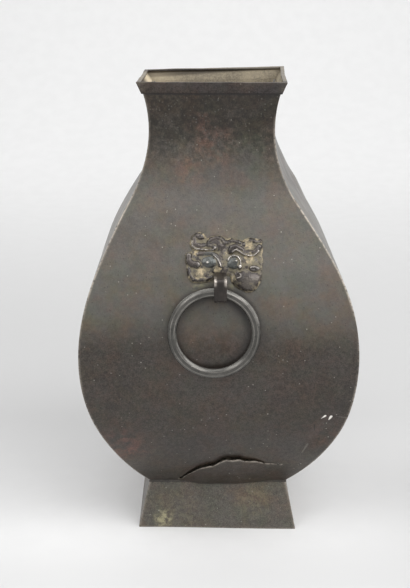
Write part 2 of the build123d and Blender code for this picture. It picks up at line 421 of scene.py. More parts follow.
def open_tear(bm, row_step):
    """Draws the pattern's rows to the lips of the tear and splits it open between them."""
    row_along = tear_row * row_step
    fade_along = row_along + tear_fade_up
    on_row = [vert for vert in bm.verts if abs(vert.co.y - row_along) < row_step / 4]
    across = {}
    for vert in on_row:
        half = tear_half
        for _ in range(4):
            x = vert.co.x / half_pattern * half
            half = profile(along_at(lip_level(TEAR_LOWER, x)))[0].x
        across[round(vert.co.x, 7)] = x
    cut = []
    for vert in on_row:
        for edge in vert.link_edges:
            places = [across.get(round(end.co.x, 7)) for end in edge.verts]
            level = all(abs(end.co.y - row_along) < row_step / 4 for end in edge.verts)
            if level and min(places) > tear_start and max(places) < tear_end:
                cut.append(edge)
    bmesh.ops.split_edges(bm, edges=list(set(cut)))
    lips = {}
    for column, x in across.items():
        lower, upper = (along_at(lip_level(lip, x)) for lip in (TEAR_LOWER, TEAR_UPPER))
        away = smooth(0, tear_fade_aside, max(tear_start - x, x - tear_end))
        lips[column] = (mix(lower, row_along, away), mix(max(lower, upper), row_along, away))
    moved = []
    for vert in bm.verts:
        if vert.co.y >= fade_along:
            continue
        lower, upper = lips[min(lips, key=lambda column: abs(column - vert.co.x))]
        below = vert.co.y < row_along
        if abs(vert.co.y - row_along) < row_step / 4:
            below = max(face.calc_center_median().y for face in vert.link_faces) < row_along
        if below:
            moved.append((vert, vert.co.y * lower / row_along))
        else:
            moved.append((vert, mix(upper, fade_along, (vert.co.y - row_along) / tear_fade_up)))
    for vert, along in moved:
        vert.co.y = along


def age_front(place, along, vert, wear_and_shine):
    """Bends the flap under the tear out over the foot, and creases the dented corner."""
    x, level = place.x, place.z
    if along < flap_zone:
        swell = tear_swell(x)
        lower = along_at(lip_level(TEAR_LOWER, x))
        upper = max(lower, along_at(lip_level(TEAR_UPPER, x)))
        if swell and along < (lower + upper) / 2:
            rise = along / lower
            place.y -= swell * mix(flap_foot_out, flap_lip_out, rise)
            place.z += swell * (flap_lip_rise * rise**2 - flap_sag * (1 - rise) ** 2)
            thinned = smooth(lower - lip_taper, lower, along) * (1 - lip_thickness / wall) * -vert.co.z
            normal = profile(along)[1]
            place += Vector((0, -normal.x, normal.y)) * thinned
            # The torn lip laid bright: bare metal at the tear, and a painted highlight along its edge
            worn = smooth(lower - lip_wear_and_shine_start, lower - lip_wear_and_shine_full, along)
            vert[wear_and_shine] = max(vert[wear_and_shine], worn)
        elif swell:
            near = 1 - smooth(0, upper_lip_reach, along - upper)
            place.y += swell * upper_lip_in * near
            place.z -= swell * upper_lip_drop * near
    line = (crease_end - crease_start).normalized()
    offset = Vector((x, level)) - crease_start
    beside = offset.x * line.y - offset.y * line.x
    within = between(*crease_run, offset.dot(line))
    fade = smooth(0.0, crease_edge_fade, (1 - abs(vert.co.x) / half_pattern) * abs(place.y))
    place.y += crease_depth * within * exp(-(beside / crease_width) ** 2) * fade
    return place


def make_walls():
    """Four sheet walls, mitred to each other; the front one is torn and dented."""
    for index, side in enumerate(SIDES):
        is_front = side == "front"
        columns, rows = (front_columns, front_rows) if is_front else (plain_columns, plain_rows)
        bm = flat_pattern(columns, rows, profile_length)
        if side in HANDLED_SIDES:
            through = slot_faces(bm, root_level + strap_thickness / 2)
            through += slot_faces(bm, under_level - strap_thickness / 2)
            bmesh.ops.delete(bm, geom=through, context="FACES")
        if is_front:
            open_tear(bm, profile_length / rows)
        thicken(bm, wall, sheet_bevel, lambda edge: max(vert.co.y for vert in edge.verts) < bevelled_below)
        bend_wall(bm, side, index * wall_seed_step, age_front if is_front else None)
        outside = FINISHES["front_body" if is_front else "body"]
        materials = [outside, FINISHES["dusty_inside"]]
        hand_over(f"{side}_wall_sheet", bm, f"{side}_wall", materials)


# Foot, rim and the solder in the corners

foot_columns, foot_rows = 64, 26
foot_bevel = 0.00045
foot_waviness, foot_wave_scale = 0.00025, 40
foot_seed_step = 9.1
foot_even_edge = 0.15
foot_wear, foot_wear_edge = 0.5, 0.05


def make_foot():
    """Four splayed panels of the foot."""
    for seed, side in enumerate(SIDES):
        bm = flat_pattern(foot_columns, foot_rows, foot_height)
        thicken(bm, foot_wall, foot_bevel, lambda edge: abs(edge.verts[0].co.y - edge.verts[1].co.y) < 1e-6)
        wear_and_shine = wear_and_shine_layer(bm)
        turn = side_turn(side)
        for vert in bm.verts:
            u, rise, depth = vert.co.x / half_pattern, vert.co.y / foot_height, -vert.co.z
            edge = mix(foot_half, joint_half, rise)
            within = off_corners(u, 6) * smooth(0, foot_even_edge, rise) * smooth(0, foot_even_edge, 1 - rise)
            wave = waver(u * edge * foot_wave_scale, vert.co.y * foot_wave_scale, seed * foot_seed_step)
            vert[wear_and_shine] = corner_wear(u, edge, vert.co.y, seed) if depth < foot_wall / 2 else 0
            vert[wear_and_shine] = max(vert[wear_and_shine], foot_wear * (1 - smooth(0, foot_wear_edge, rise)))
            depth += foot_waviness * wave * within
            depth += corner_drop(u, edge) * (1 - depth / foot_wall)
            half = edge - depth
            vert.co = turn @ Vector((u * half, -half, vert.co.y))
            splayed = smooth(-foot_half, foot_half, vert.co.x) * smooth(0, foot_half, -vert.co.y)
            shift = Vector((foot_skew + foot_splay.x * splayed, foot_splay.y * splayed, 0))
            vert.co += shift * (1 - rise)
        materials = [FINISHES["foot"], FINISHES["dusty_inside"]]
        hand_over(f"foot_{side}_panel", bm, f"foot_{side}", materials)


# Rim section as half width and level: a flared outer face, and a thin lip over a groove inside
lip_inner = 0.0532
lip_depth, groove_depth, groove_end = 0.0016, 0.0026, 0.0060
groove_back, groove_foot = 0.0010, 0.0014
RIM_SECTION = [(rim_foot, mouth_level), (rim_half, height), (lip_inner, height),
               (lip_inner, height - lip_depth), (lip_inner + groove_back, height - groove_depth),
               (rim_inner + groove_foot, height - groove_end), (rim_inner, mouth_level)]
rim_pieces = 44
rim_bevel, rim_bevel_zone = 0.0005, 0.0025
rim_dust_depth = 0.0018
rim_unevenness = 0.00035
rim_wear, rim_wear_width = 0.2, 0.0012


def make_rim():
    """Four mitred bars of the rim collar, slightly uneven along their edges."""
    for seed, side in enumerate(SIDES):
        bm = bmesh.new()
        section = bm.faces.new([bm.verts.new((-1, -half, level)) for half, level in RIM_SECTION])
        bmesh.ops.translate(bm, verts=drawn_out(bm, [section]), vec=(2, 0, 0))
        lips = [edge for edge in edges_along(bm, 0, 1) if edge.verts[0].co.z > height - rim_bevel_zone]
        round_off(bm, lips, rim_bevel, 3)
        bmesh.ops.subdivide_edges(bm, edges=edges_along(bm, 0, 1), cuts=rim_pieces - 1, use_grid_fill=True)
        bmesh.ops.recalc_face_normals(bm, faces=bm.faces)
        for face in bm.faces:
            dusty = face.normal.y > 0.2 and face.calc_center_median().z < height - rim_dust_depth
            face.material_index = 1 if dusty else 0
        wear_and_shine = wear_and_shine_layer(bm)
        turn = side_turn(side)
        for vert in bm.verts:
            u, half, level = vert.co.x, -vert.co.y, vert.co.z
            within = off_corners(u, 8)
            top = smooth(mouth_level, height, level)
            uneven = waver(u * 2.4, seed * 5.3, 1)
            uneven += 0.5 * waver(u * 7, seed * 5.3, 4)
            outward = waver(u * 2.1, seed * 3.1, 9 + level * 90)
            from_edge = min(abs(half - rim_half), abs(half - lip_inner)) + (height - level)
            patchy = max(0, 0.55 + 0.8 * waver(u * 6, seed * 2.2, half * 900))
            vert[wear_and_shine] = rim_wear * patchy * (1 - smooth(0, rim_wear_width, from_edge))
            half += rim_unevenness * outward * within * smooth(rim_inner, rim_foot, half)
            level += rim_unevenness * uneven * within * top
            vert.co = settle(turn @ Vector((u * half, -half, level)))
        materials = [FINISHES["rim"], FINISHES["dusty_inside"]]
        hand_over(f"rim_{side}_bar", bm, f"rim_{side}", materials)


# Section of a corner bead: how far it lies from the two walls that it joins
bead_waist = 0.0007
BEAD_SECTION = [(solder_film, solder_film), (solder_bead, solder_film), (bead_waist, bead_waist),
                (solder_film, solder_bead)]
bead_start, bead_end = solder_bead + 0.0002, profile_length - 0.0005
bead_cuts = 110
bead_lumpiness, bead_lump_scale = 0.25, 120


def make_corner_solder():
    """Uneven fillets of solder in the four upright corners, inside."""
    bm = bmesh.new()
    for index in range(len(SIDES)):
        bm.faces.new([bm.verts.new((index + a, bead_start, b)) for a, b in BEAD_SECTION])
    bmesh.ops.translate(bm, verts=drawn_out(bm, bm.faces[:]), vec=(0, bead_end - bead_start, 0))
    bmesh.ops.subdivide_edges(bm, edges=edges_along(bm, 1, bead_start), cuts=bead_cuts, use_grid_fill=True)
    for vert in bm.verts:
        index = round(vert.co.x)
        a, along, b = vert.co.x - index, vert.co.y, vert.co.z
        edge, normal = profile(along)
        inner, level = edge - inward(along, normal) * wall
        lumpy = 1 + bead_lumpiness * waver(along * bead_lump_scale, index, a * 900)
        place = Vector((inner - a * lumpy, -(inner - b * lumpy), level))
        vert.co = settle(side_turn(SIDES[index]) @ place)
    hand_over("corner_solder", bm, "wall_solder", [FINISHES["solder"]])


# Rings and the straps that hold them

strap_shift = 0.001
strap_width = 0.0094
strap_thickness = 0.0017
strap_columns, strap_rows = 16, 150
strap_bevel = 0.0005
strap_border, strap_border_rise = (0.0022, 0.0036), 0.0005
leg_width = 0.006
leg_bend, upper_bend, lower_bend = 0.0013, 0.0026, 0.0044
taper_inside, taper_outside = 0.004, 0.001
strap_wear_and_shine_out, strap_wear_and_shine_drop = (0.008, 0.012), (0.0045, 0.0015)
clench = 0.008
ring_wire, ring_width = 0.0064, 0.0073
ring_bevel = 0.0006
ring_steps = 200
ring_wear_edge = (0.36, 0.56)
ring_wear, ring_wear_change = 0.42, 0.5
eye_radius = ring_wire / 2 + 0.0018
eye_out, eye_level = 0.10679, 0.2124
root_level = eye_level + 0.0101
under_level = eye_level - eye_radius
ring_radius = 0.03105
ring_centre = Vector((-0.00359, -0.10798, 0.18171))
ring_axis = Vector((0, -0.9992, 0.0388))


class RoundedPath:
    """Path through corner points with the corners rounded to their radii."""

    def __init__(self, corners, radii):
        self.parts = []
        here = corners[0]
        for index in range(1, len(corners) - 1):
            before = (corners[index] - corners[index - 1]).normalized()
            after = (corners[index + 1] - corners[index]).normalized()
            bend = atan2(before.x * after.y - before.y * after.x, before.dot(after))
            reach = radii[index] * tan(abs(bend) / 2)
            arc_start = corners[index] - before * reach
            self.parts.append(((arc_start - here).length, here, before, 0))
            curve = copysign(1 / radii[index], bend)
            self.parts.append((radii[index] * abs(bend), arc_start, before, curve))
            here = corners[index] + after * reach
        last = corners[-1] - here
        self.parts.append((last.length, here, last.normalized(), 0))
        self.length = sum(part[0] for part in self.parts)

    def at(self, distance):
        """Point at a distance along the path, and the direction to its left."""
        for length, start, direction, curve in self.parts:
            if distance <= length or start is self.parts[-1][1]:
                left = Vector((-direction.y, direction.x))
                if not curve:
                    return start + direction * distance, left
                turned = Matrix.Rotation(distance * curve, 2)
                return start + (left - turned @ left) / curve, turned @ left
            distance -= length


def strap_path():
    """Middle of the strap's thickness in side view: clenched inside, out, down over the ring, back inside."""
    half = strap_thickness / 2
    top_level, bottom_level = root_level + half, under_level - half
    front = eye_out + eye_radius + half
    legs = []
    for level in (top_level, bottom_level):
        edge, normal = profile(along_at(level))
        up = Vector((-normal.y, normal.x))
        inside = edge - normal * (wall + solder_film + half)
        legs.append((inside + up * ((level - inside.y) / up.y), up))
    (top, top_up), (low, low_up) = legs
    points = [top + top_up * clench, top, Vector((front, top_level)), Vector((front, bottom_level)), low,
              low - low_up * clench]
    return RoundedPath(points, [0, leg_bend, upper_bend, lower_bend, leg_bend, 0])


def make_straps():
    """Strap with raised edges, bent round each ring."""
    path = strap_path()
    outer_wall = profile(along_at(eye_level))[0].x
    for side in HANDLED_SIDES:
        bm = bmesh.new()
        bmesh.ops.create_grid(bm, x_segments=strap_columns, y_segments=strap_rows, size=1)
        for vert in bm.verts:
            vert.co = Vector((vert.co.x * strap_width / 2, (vert.co.y + 1) / 2 * path.length, 0))
        bmesh.ops.solidify(bm, geom=bm.faces[:], thickness=strap_thickness)
        middle = sum(vert.co.z for vert in bm.verts) / len(bm.verts)
        for vert in bm.verts:
            vert.co.z -= middle
        rims = []
        for edge in bm.edges:
            outline = [abs(abs(vert.co.x) - strap_width / 2) < 1e-6 for vert in edge.verts]
            flat = abs(edge.verts[0].co.z - edge.verts[1].co.z) < 1e-6
            if all(outline) and flat:
                rims.append(edge)
        round_off(bm, rims, strap_bevel, 3)
        wear_and_shine = wear_and_shine_layer(bm)
        turn = side_turn(side)
        for vert in bm.verts:
            across, along, lift = vert.co
            point, left = path.at(along)
            narrow = 1 - smooth(outer_wall - taper_inside, outer_wall + taper_outside, point.x)
            scale = mix(1, leg_width / strap_width, narrow)
            border = smooth(*strap_border, abs(across))
            raised = (border - 0.5) * strap_border_rise * (1 - narrow) if lift > 0 else 0
            # Worn bright edges at the upper bend, where the lamps catch them: wear and painted highlight
            bend = smooth(*[outer_wall + out for out in strap_wear_and_shine_out], point.x)
            bend *= smooth(*[root_level - drop for drop in strap_wear_and_shine_drop], point.y)
            vert[wear_and_shine] = border * bend if lift > 0 else 0
            point = point + left * (lift + raised)
            vert.co = turn @ Vector((strap_shift + across * scale, -point.x, point.y))
        hand_over(f"staple_{side}_strap", bm, f"staple_{side}", [FINISHES["strap"]])


def make_rings():
    """Rings of eight-sided rod with its edges worn bright in places."""
    flat, corner = ring_wire / 2, ring_wire / 2 / cos(pi / 8)
    lay = ring_axis.to_track_quat("Z", "Y").to_matrix()
    for side in HANDLED_SIDES:
        bm = bmesh.new()
        bmesh.ops.create_circle(bm, segments=8, radius=corner)
        bmesh.ops.rotate(bm, verts=bm.verts, matrix=Matrix.Rotation(pi / 8, 3, "Z"))
        round_off(bm, bm.verts[:], ring_bevel, 2, "VERTICES")
        wear_and_shine = wear_and_shine_layer(bm)
        worn_from, worn_to = (mix(flat, corner, share) for share in ring_wear_edge)
        for vert in bm.verts:
            vert[wear_and_shine] = smooth(worn_from, worn_to, hypot(vert.co.x, vert.co.y))
        bmesh.ops.scale(bm, verts=bm.verts, vec=(ring_width / ring_wire, 1, 1))
        bmesh.ops.rotate(bm, verts=bm.verts, matrix=Matrix.Rotation(pi / 2, 3, "X"))
        bmesh.ops.translate(bm, verts=bm.verts, vec=(ring_radius, 0, 0))
        bmesh.ops.spin(bm, geom=bm.verts[:] + bm.edges[:], axis=(0, 0, 1), cent=(0, 0, 0), angle=2 * pi,
                       steps=ring_steps, use_merge=True)
        bmesh.ops.remove_doubles(bm, verts=bm.verts, dist=1e-6)
        turn = side_turn(side)
        for vert in bm.verts:
            angle = atan2(vert.co.y, vert.co.x)
            patchy = ring_wear + ring_wear_change * waver(cos(angle) * 2, sin(angle) * 2, vert.co.z * 300)
            vert[wear_and_shine] = vert[wear_and_shine] * max(0, patchy)
            vert.co = turn @ (lay @ vert.co + ring_centre)
        body = f"ring_{side}"
        hand_over(f"ring_{side}_rod", bm, f"ring_{side}", [FINISHES["ring"]], body, 25)


# Masks: broad swellings with rounded strokes and knobs laid over them. Places are millimetres from the
# mask's middle, across and up, and heights are millimetres above the wall

mask_shift, mask_level = 0.0044, 0.2307
mask_step = 0.42
mask_columns, mask_rows = 148, 106
mask_ground = 0.9
mask_backing = 0.1
mask_edge_snap, mask_edge_slack = 0.45, 0.01
mask_edge_round = 1.5
mask_grit, mask_grit_scale = 0.14, 0.9
pit_depth = 0.8
# Lobes of the outline, and the broad swellings: place, half width, half height, and a swelling's height
OUTLINE = [(-19, 12.5, 6.3, 7.5), (-5, 10.5, 10.5, 7.2), (9, 8.5, 9, 6.5), (21, 8.5, 7.6, 7.4),
           (-20, 0, 9, 8.5), (-17.5, -8, 10.5, 6.6), (16, -11, 11.3, 8.6), (0, 0, 24, 9.5),
           (18, -15.5, 6.5, 5.5), (22, 0, 6.6, 10)]
SWELLINGS = [(-5.8, 12.0, 8.6, 6.6, 2.7), (8.0, 10.0, 8.6, 6.2, 2.2), (-12.5, 0.5, 13.5, 9.0, 2.3),
             (12.0, -0.5, 13.0, 8.5, 2.3), (17.2, -12.6, 10.4, 8.2, 3.9), (-18.0, -8.2, 9.5, 6.0, 1.6),
             (-1.2, 0.5, 6.5, 10.0, 2.0), (-19.5, 13.4, 6.0, 6.6, 1.5), (21.0, 9.5, 6.6, 6.6, 1.6)]
# Strokes: points, half width and height over the swellings
STROKES = [
    ([(-22.7, 15.8), (-23.6, 12.2), (-21.6, 10.4), (-17.2, 10.2), (-12.5, 10.2), (-9.2, 9.2)], 2.4, 1.4),
    ([(-24.6, 13.2), (-24.4, 10.4), (-22.0, 8.3), (-17.2, 7.9), (-12.4, 7.7), (-9.0, 7.2), (-6.9, 8.6)],
     0.75, 2.2),
    ([(-20.0, 5.4), (-14.6, 5.5), (-10.0, 5.4), (-6.4, 3.8), (-4.6, 1.0), (-3.6, -2.4)], 1.9, 1.4),
    ([(-8.0, 3.6), (-5.4, 1.4), (-3.7, -1.6), (-2.8, -3.8)], 0.7, 2.1),
    ([(-26.8, 3.8), (-27.0, 0.8), (-24.4, -1.7), (-20.4, -2.5)], 2.5, 2.2),
    ([(-27.0, -4.6), (-26.5, -8.7), (-24.0, -12.6), (-19.8, -12.8), (-13.5, -12.2), (-9.2, -10.6)], 1.4, 1.2),
    ([(-13.0, 12.3), (-10.4, 15.0), (-6.2, 16.4), (-2.2, 15.2), (0.0, 12.6)], 1.6, 0.9),
    ([(1.6, 12.6), (3.8, 13.8), (6.6, 14.1), (10.8, 12.6)], 1.8, 1.2),
    ([(3.8, 6.6), (5.2, 9.0), (8.2, 9.8), (11.4, 8.4), (14.6, 6.3), (18.4, 5.2), (21.8, 5.7), (24.6, 8.0),
      (26.0, 10.0)], 2.0, 1.6),
    ([(5.6, 6.0), (8.2, 7.6), (10.8, 6.4), (14.2, 4.4), (18.4, 3.4), (22.4, 4.1), (25.4, 6.8)], 0.75, 2.4),
    ([(14.6, 11.6), (15.8, 13.6), (18.6, 14.6), (22.6, 13.8), (26.4, 13.6)], 1.7, 1.1),
    ([(2.4, 0.6), (4.0, 3.0), (6.6, 3.8), (9.8, 2.8), (11.6, 0.2), (11.8, -2.2)], 0.8, 2.1),
    ([(5.0, -8.6), (6.2, -12.6), (10.6, -16.4), (16.6, -19.4), (21.6, -16.6), (25.4, -11.4), (26.2, -8.2)],
     1.3, 0.3),
    ([(7.8, -8.8), (9.6, -7.6), (11.6, -8.8), (11.4, -11.0), (9.2, -11.4)], 0.9, 1.0),
]
# Knobs: place, half width, half height and height over the swellings; pits are small drilled hollows
KNOBS = [(-18.2, 17.6, 4.8, 3.1, 2.6), (-7.6, 8.6, 1.8, 1.8, 2.0), (-11.4, -0.6, 6.2, 4.0, 1.5),
         (6.6, -1.2, 5.2, 4.4, 1.6), (-12.9, -1.2, 1.7, 1.5, 2.3), (8.4, -0.2, 1.6, 1.5, 2.3),
         (11.1, -3.8, 1.9, 1.8, 2.4), (22.1, -4.8, 4.4, 2.3, 3.2), (5.2, 7.4, 2.3, 1.6, 1.6),
         (-23.6, -1.4, 1.6, 1.3, 1.4)]
PITS = [(4.6, 4.4, 0.8), (-16.2, 18.2, 0.8), (19.6, 9.6, 2.2), (-17.6, 12.6, 2.2)]
# Hollows full of yellow earth: place, radius and amount
SOIL = [(-14.6, 18.6, 3.6, 1.0), (-21.5, 6.3, 3.4, 0.8), (-18.1, -8.2, 7.0, 0.75), (-2.4, 18.8, 4.0, 0.7),
        (17.8, 11.5, 5.0, 0.85), (18.5, 2.0, 5.0, 0.9), (24.6, 16.0, 2.6, 1.0), (-5.0, -6.0, 4.0, 0.9),
        (4.5, -12.0, 4.5, 0.9), (-25.4, 12.6, 2.6, 0.6), (27.6, 5.0, 3.0, 0.6), (0.5, 5.5, 3.0, 0.4)]
# Bluish eyes: place and radius. Swellings rubbed bare of earth: place, half width and half height
EYES = [(-11.2, -0.2, 7.2), (6.4, -0.8, 6.8)]
BARE = [(-5.8, 12.2, 7.6, 5.8), (17.6, -12.6, 9.8, 7.6), (22.0, -4.8, 5.2, 3.0)]


def soft_max(a, b, width):
    """Larger of two reliefs with a small fillet where they meet."""
    part = np.clip(0.5 + (a - b) / (2 * width), 0, 1)
    return b + (a - b) * part + width * part * (1 - part)


def oval(x, z, across, up, half_width, half_height):
    """Distance of places from the middle of an oval, as a share of the way to its edge."""
    return np.hypot((x - across) / half_width, (z - up) / half_height)


def stroke_distance(x, z, points):
    """Distance of places from a line of points."""
    nearest = np.full(x.shape, 1e3)
    for (x0, z0), (x1, z1) in zip(points, points[1:]):
        run, rise = x1 - x0, z1 - z0
        t = np.clip(((x - x0) * run + (z - z0) * rise) / (run * run + rise * rise), 0, 1)
        nearest = np.minimum(nearest, np.hypot(x - x0 - t * run, z - z0 - t * rise))
    return nearest


def mask_inside(x, z):
    """How far inside the mask's outline places are; negative outside."""
    inside = np.full(x.shape, -1e3)
    for across, up, half_width, half_height in OUTLINE:
        share = oval(x, z, across, up, half_width, half_height)
        inside = soft_max(inside, (1 - share) * min(half_width, half_height), 1.2)
    for points, half_width, _ in STROKES:
        inside = soft_max(inside, half_width + 0.2 - stroke_distance(x, z, points), 0.8)
    return inside


def dome(share, power):
    """Rounded form that falls from 1 in its middle to 0 at its edge."""
    return np.clip(1 - share**2, 0, 1) ** power


def mask_relief(x, z):
    """Height of the mask's ground and swellings above the wall, and of the detail on top of them."""
    broad = np.zeros(x.shape)
    for *place, top in SWELLINGS:
        broad = soft_max(broad, top * dome(oval(x, z, *place), 0.7), 0.5)
    detail = np.zeros(x.shape)
    for points, half_width, top in STROKES:
        detail = soft_max(detail, top * dome(stroke_distance(x, z, points) / half_width, 0.5), 0.25)
    for *place, top in KNOBS:
        detail = soft_max(detail, top * dome(oval(x, z, *place), 0.55), 0.25)
    for across, up, radius in PITS:
        detail = detail - pit_depth * np.exp(-2 * oval(x, z, across, up, radius, radius) ** 2)
    return mask_ground + broad, detail


def blurred(values, width):
    """Relief with its fine forms smoothed away over a width."""
    count = round(2 * width / mask_step)
    steps = np.arange(-count, count + 1) * mask_step
    kernel = np.exp(-((steps / width) ** 2))
    kernel /= kernel.sum()
    spread = np.pad(values, len(kernel) // 2, mode="edge")
    spread = np.apply_along_axis(np.convolve, 0, spread, kernel, "valid")
    return np.apply_along_axis(np.convolve, 1, spread, kernel, "valid")


def mask_shades(x, z, inside, relief, detail):
    """Where the mask is hollow, proud, full of earth or an eye, from 0 to 1."""
    hollow = np.clip((blurred(relief, 1.7) - relief + 0.05) / 0.75, 0, 1)
    ground = np.clip(1 - detail / 0.5, 0, 1)
    for place in BARE:
        ground = ground * (1 - dome(oval(x, z, *place), 0.6))
    hollow = np.maximum(hollow, 0.75 * ground)
    proud = np.clip((relief - blurred(relief, 1.3)) / 0.8, 0, 1)
    soil, eye = np.zeros(x.shape), np.zeros(x.shape)
    for across, up, radius, amount in SOIL:
        clot = amount * dome(oval(x, z, across, up, radius, radius), 1)
        soil = np.maximum(soil, clot * (1 - 0.8 * proud))
    soil = np.maximum(soil, 0.45 * np.clip((1.9 - inside) / 1.3, 0, 1))
    for across, up, radius in EYES:
        eye = np.maximum(eye, dome(oval(x, z, across, up, radius, radius), 0.7))
    return {"hollow": hollow, "proud": proud, "soil": soil, "eye": eye}


def make_masks():
    """Cast animal mask over each strap, fitted to the wall."""
    half_width, half_height = mask_columns * mask_step / 2, mask_rows * mask_step / 2
    x, z = np.meshgrid(np.linspace(-half_width, half_width, mask_columns + 1),
                       np.linspace(-half_height, half_height, mask_rows + 1))
    inside = mask_inside(x, z)
    slope_z, slope_x = np.gradient(inside, mask_step)
    near_edge = np.where(np.abs(inside) < mask_edge_snap, inside, 0)
    snap = near_edge / np.maximum(slope_x**2 + slope_z**2, 0.2)
    broad, detail = mask_relief(x, z)
    relief = broad + detail
    shades = mask_shades(x, z, inside, relief, detail)
    relief = relief * np.sqrt(np.clip(inside / mask_edge_round, 0.03, 1))
    x, z = x - snap * slope_x, z - snap * slope_z
    for side in HANDLED_SIDES:
        bm = bmesh.new()
        bmesh.ops.create_grid(bm, x_segments=mask_columns, y_segments=mask_rows, size=1)
        for name in shades:
            bm.verts.layers.float.new(name)
        outside = set()
        for vert in bm.verts:
            at = round((vert.co.y + 1) / 2 * mask_rows), round((vert.co.x + 1) / 2 * mask_columns)
            grit = waver(x[at] * mask_grit_scale, z[at] * mask_grit_scale, 3.3)
            rise = relief[at] + mask_grit * grit * min(1, max(0, inside[at]))
            vert.co = Vector((x[at], z[at], rise))
            for name, shade in shades.items():
                vert[bm.verts.layers.float[name]] = shade[at]
            if inside[at] < -mask_edge_snap - mask_edge_slack:
                outside.add(vert)
        bmesh.ops.delete(bm, geom=list(outside), context="VERTS")
        for vert in drawn_out(bm, bm.faces[:]):
            vert.co.z = mask_backing
        turn = side_turn(side)
        levels = {}
        for vert in bm.verts:
            across, up, lift = vert.co / 1000
            key = round(up, 4)
            if key not in levels:
                levels[key] = profile(along_at(mask_level + key))
            edge, normal = levels[key]
            tangent = Vector((-normal.y, normal.x))
            out, level = edge + normal * lift + tangent * ((up - key) / tangent.y)
            across += mask_shift
            vert.co = turn @ Vector((across, -out + sin(twist_at(level)) * across, level))
        hand_over(f"mask_{side}_cast", bm, f"mask_{side}", [FINISHES["mask"]], sharp_angle=60)


# Materials


